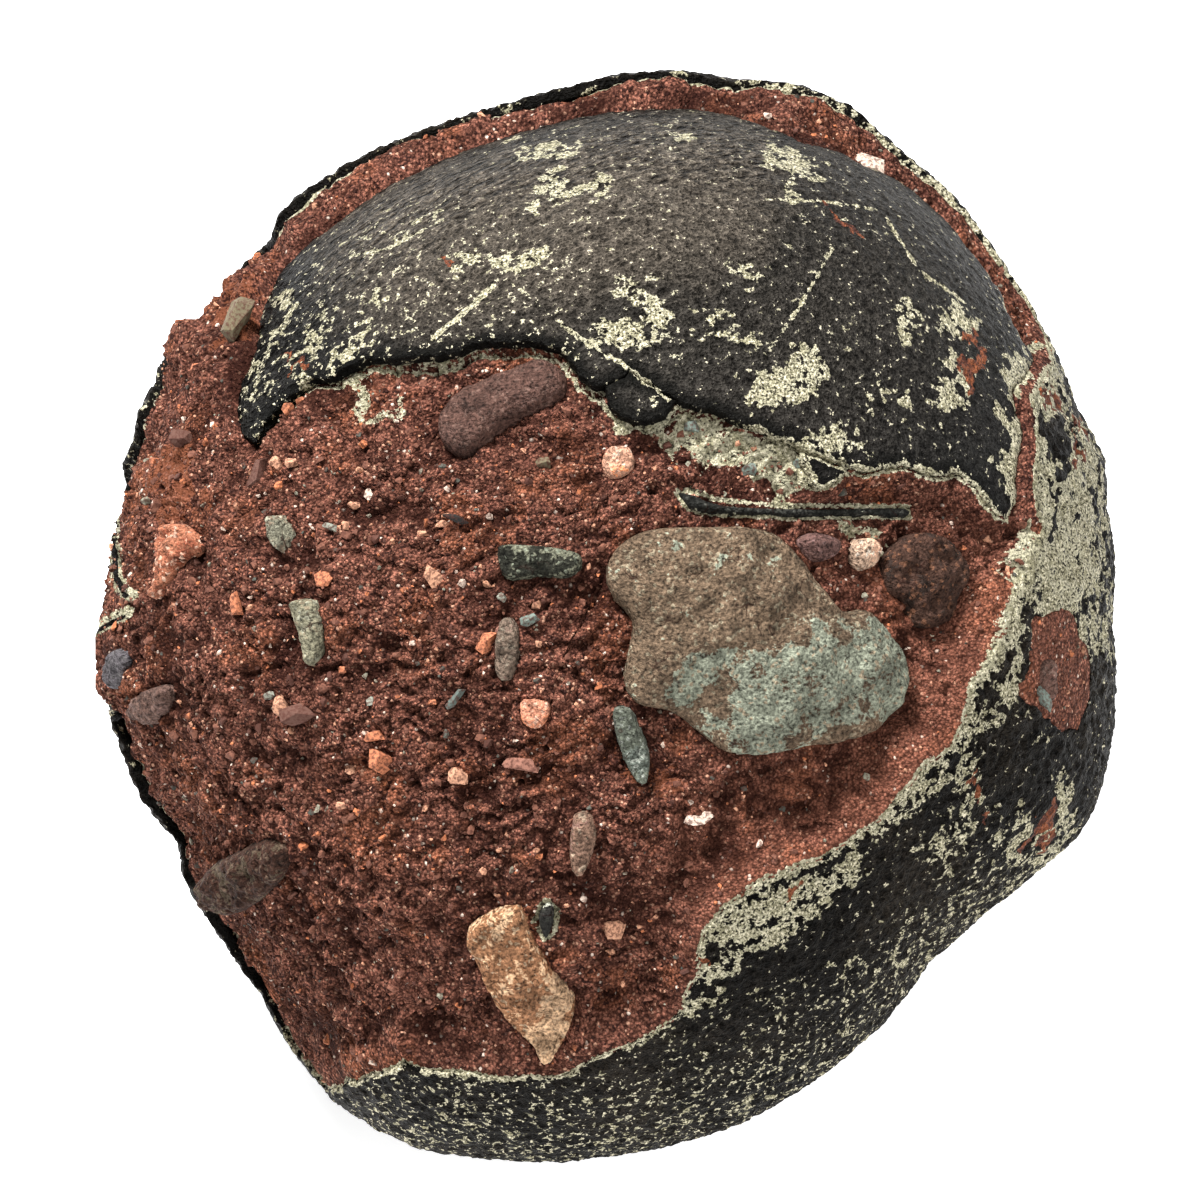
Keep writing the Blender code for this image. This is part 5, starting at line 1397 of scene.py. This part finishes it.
def build_grains(matrix):
    """Thousands of grains bedded in the broken face, joined in one mesh, each with its own tone."""
    rng = np.random.default_rng(GRAIN_SEED)
    shapes = grain_shapes(rng)
    places = spiral(GRAIN_STEP)
    places = unit(places + rng.normal(size=places.shape) * (GRAIN_STEP * GRAIN_SCATTER / MEAN_RADIUS))
    inner_edges = [moved_out(loop, GRAIN_MARGINS["edge"]) for loop in (matrix.opening, matrix.window)]
    places = places[within(places, inner_edges[0]) | within(places, inner_edges[1])]
    places = places[~within(places, moved_out(matrix.seat, GRAIN_MARGINS["sunken"]))]
    for stone in matrix.stones:
        places = places[~within(places, moved_out(stone.loop, GRAIN_MARGINS["stone"]))]
    places = places[places[:, 0] * matrix.radius(places)[0] > GRAIN_MOST - LEFT_REACH]
    sizes = np.minimum(GRAIN_LEAST * (1.0 - rng.random(len(places))) ** (-1.0 / GRAIN_POWER), GRAIN_MOST)
    kinds = rng.choice(len(GRAIN_TONES), len(places), p=[share for share, _ in GRAIN_TONES])
    tones = np.array([GRAIN_TONES[kind][1] for kind in kinds]) * rng.uniform(*TONE_RANGE, (len(places), 1))
    stretches = rng.uniform(*STRETCH_RANGE, (len(places), 3))
    chosen = loop_of([(x, y) for x, y, *_ in CLASTS], matrix.level)
    places = np.vstack([places, chosen])
    sizes = np.concatenate([sizes, np.ones(len(CLASTS))])
    tones = np.vstack([tones, [CLAST_TONES[tone] for *_, tone in CLASTS]])
    radii, _ = matrix.radius(places)
    points, faces, colours = [], [], []
    count = 0
    for index, (place, radius, size) in enumerate(zip(places, radii, sizes)):
        corners, sides = shapes[rng.integers(len(shapes))]
        if index < len(stretches):
            turn = np.linalg.qr(rng.normal(size=(3, 3)))[0]
            turn *= np.sign(np.linalg.det(turn))
            shape = (corners * stretches[index] * size) @ turn.T
            middle = place * (radius + size * rng.uniform(*BEDDING_RANGE))
        else:
            _, _, length, width, bearing, _ = CLASTS[index - len(stretches)]
            cosine, sine = math.cos(math.radians(bearing)), math.sin(math.radians(bearing))
            shape = corners * np.array([length, width, min(length, width)]) * CLAST_HALF
            shape[:, :2] = shape[:, :2] @ np.array([[cosine, sine], [-sine, cosine]])
            middle = place * (radius + CLAST_LIFT * width)
        points.append(middle + shape)
        faces += [[corner + count for corner in side] for side in sides]
        colours.append(np.tile([*tones[index], 1.0], (len(corners), 1)))
        count += len(corners)
    made = add_object("egg_grains", np.vstack(points), faces, grain_finish(), smooth=False)
    tone = made.data.attributes.new("tone", "FLOAT_COLOR", "POINT")
    tone.data.foreach_set("color", np.vstack(colours).astype(np.float32).ravel())
    return made


# ------------------------------------------------------------------ floor, light and camera
def build_stage():
    """A plain pale floor, a little bright of its own, as a sheet that is lit from below."""
    mesh = bpy.data.meshes.new("floor")
    half = FLOOR_HALF * MM
    corners = [(-half, -half, 0), (half, -half, 0), (half, half, 0), (-half, half, 0)]
    mesh.from_pydata(corners, [], [(0, 1, 2, 3)])
    look = Finish("floor", *FLOOR_SHEEN)
    look.shader.inputs["Emission Color"].default_value = (1.0, 1.0, 1.0, 1.0)
    look.shader.inputs["Emission Strength"].default_value = FLOOR_GLOW
    look.shader.inputs["Base Color"].default_value = (*FLOOR_WHITE, 1.0)
    mesh.materials.append(look.material)
    floor = bpy.data.objects.new("floor", mesh)
    bpy.context.scene.collection.objects.link(floor)


def face_to_world(x, y, w):
    return Vector(upright(np.array([[x, y, w]], float))[0])


def add_light(name, spot, size, power):
    """A square soft light at a point of the face frame, turned to the egg."""
    data = bpy.data.lights.new(name, "AREA")
    data.size = size * MM
    data.energy = power
    light = bpy.data.objects.new(name, data)
    light.location = face_to_world(*spot)
    light.rotation_euler = (face_to_world(0, 0, 0) - light.location).to_track_quat("-Z", "Y").to_euler()
    bpy.context.scene.collection.objects.link(light)


def build_lights():
    world = bpy.data.worlds.new("studio")
    world.use_nodes = True
    world.node_tree.nodes["Background"].inputs["Color"].default_value = (1.0, 1.0, 1.0, 1.0)
    world.node_tree.nodes["Background"].inputs["Strength"].default_value = SURROUND
    bpy.context.scene.world = world
    for row in LIGHTS:
        add_light(*row)


def build_camera():
    """A long lens square on to the broken face, as in the photograph."""
    data = bpy.data.cameras.new("camera")
    data.sensor_width = SENSOR
    data.lens = data.sensor_width * CAMERA_DISTANCE / FRAME_WIDTH
    data.clip_end = 3 * CAMERA_DISTANCE * MM
    camera = bpy.data.objects.new("camera", data)
    camera.location = face_to_world(*FRAME_MIDDLE, CAMERA_DISTANCE)
    camera.rotation_euler = (math.pi / 2 - FACE_TILT, 0.0, 0.0)
    bpy.context.scene.collection.objects.link(camera)
    bpy.context.scene.camera = camera


def main():
    bpy.context.scene.view_settings.view_transform = "Standard"
    build_camera()
    build_lights()
    build_stage()
    opening = broken(opening_loop())
    window = broken(loop_of(WINDOW, body_radius))
    matrix = Matrix(opening, window)
    matrix.stones = [Stone(row, matrix.level) for row in STONES]
    filling = matrix.build()
    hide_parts("matrix")
    build_grains(matrix)
    outer = build_outer_shell(opening, window)
    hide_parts("outer_shell")
    sunken_finish = shell_finish("sunken_shell", SUNKEN_DARK, SUNKEN_WARM_AND_SHEEN, SUNKEN_SHEEN, rippled=True)
    for name, outline in SUNKEN_PIECES:
        piece = build_sunken_piece(name, outline, sunken_finish)
        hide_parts(name)
    for stone in matrix.stones:
        piece = stone.build()
        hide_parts(stone.name)


main()
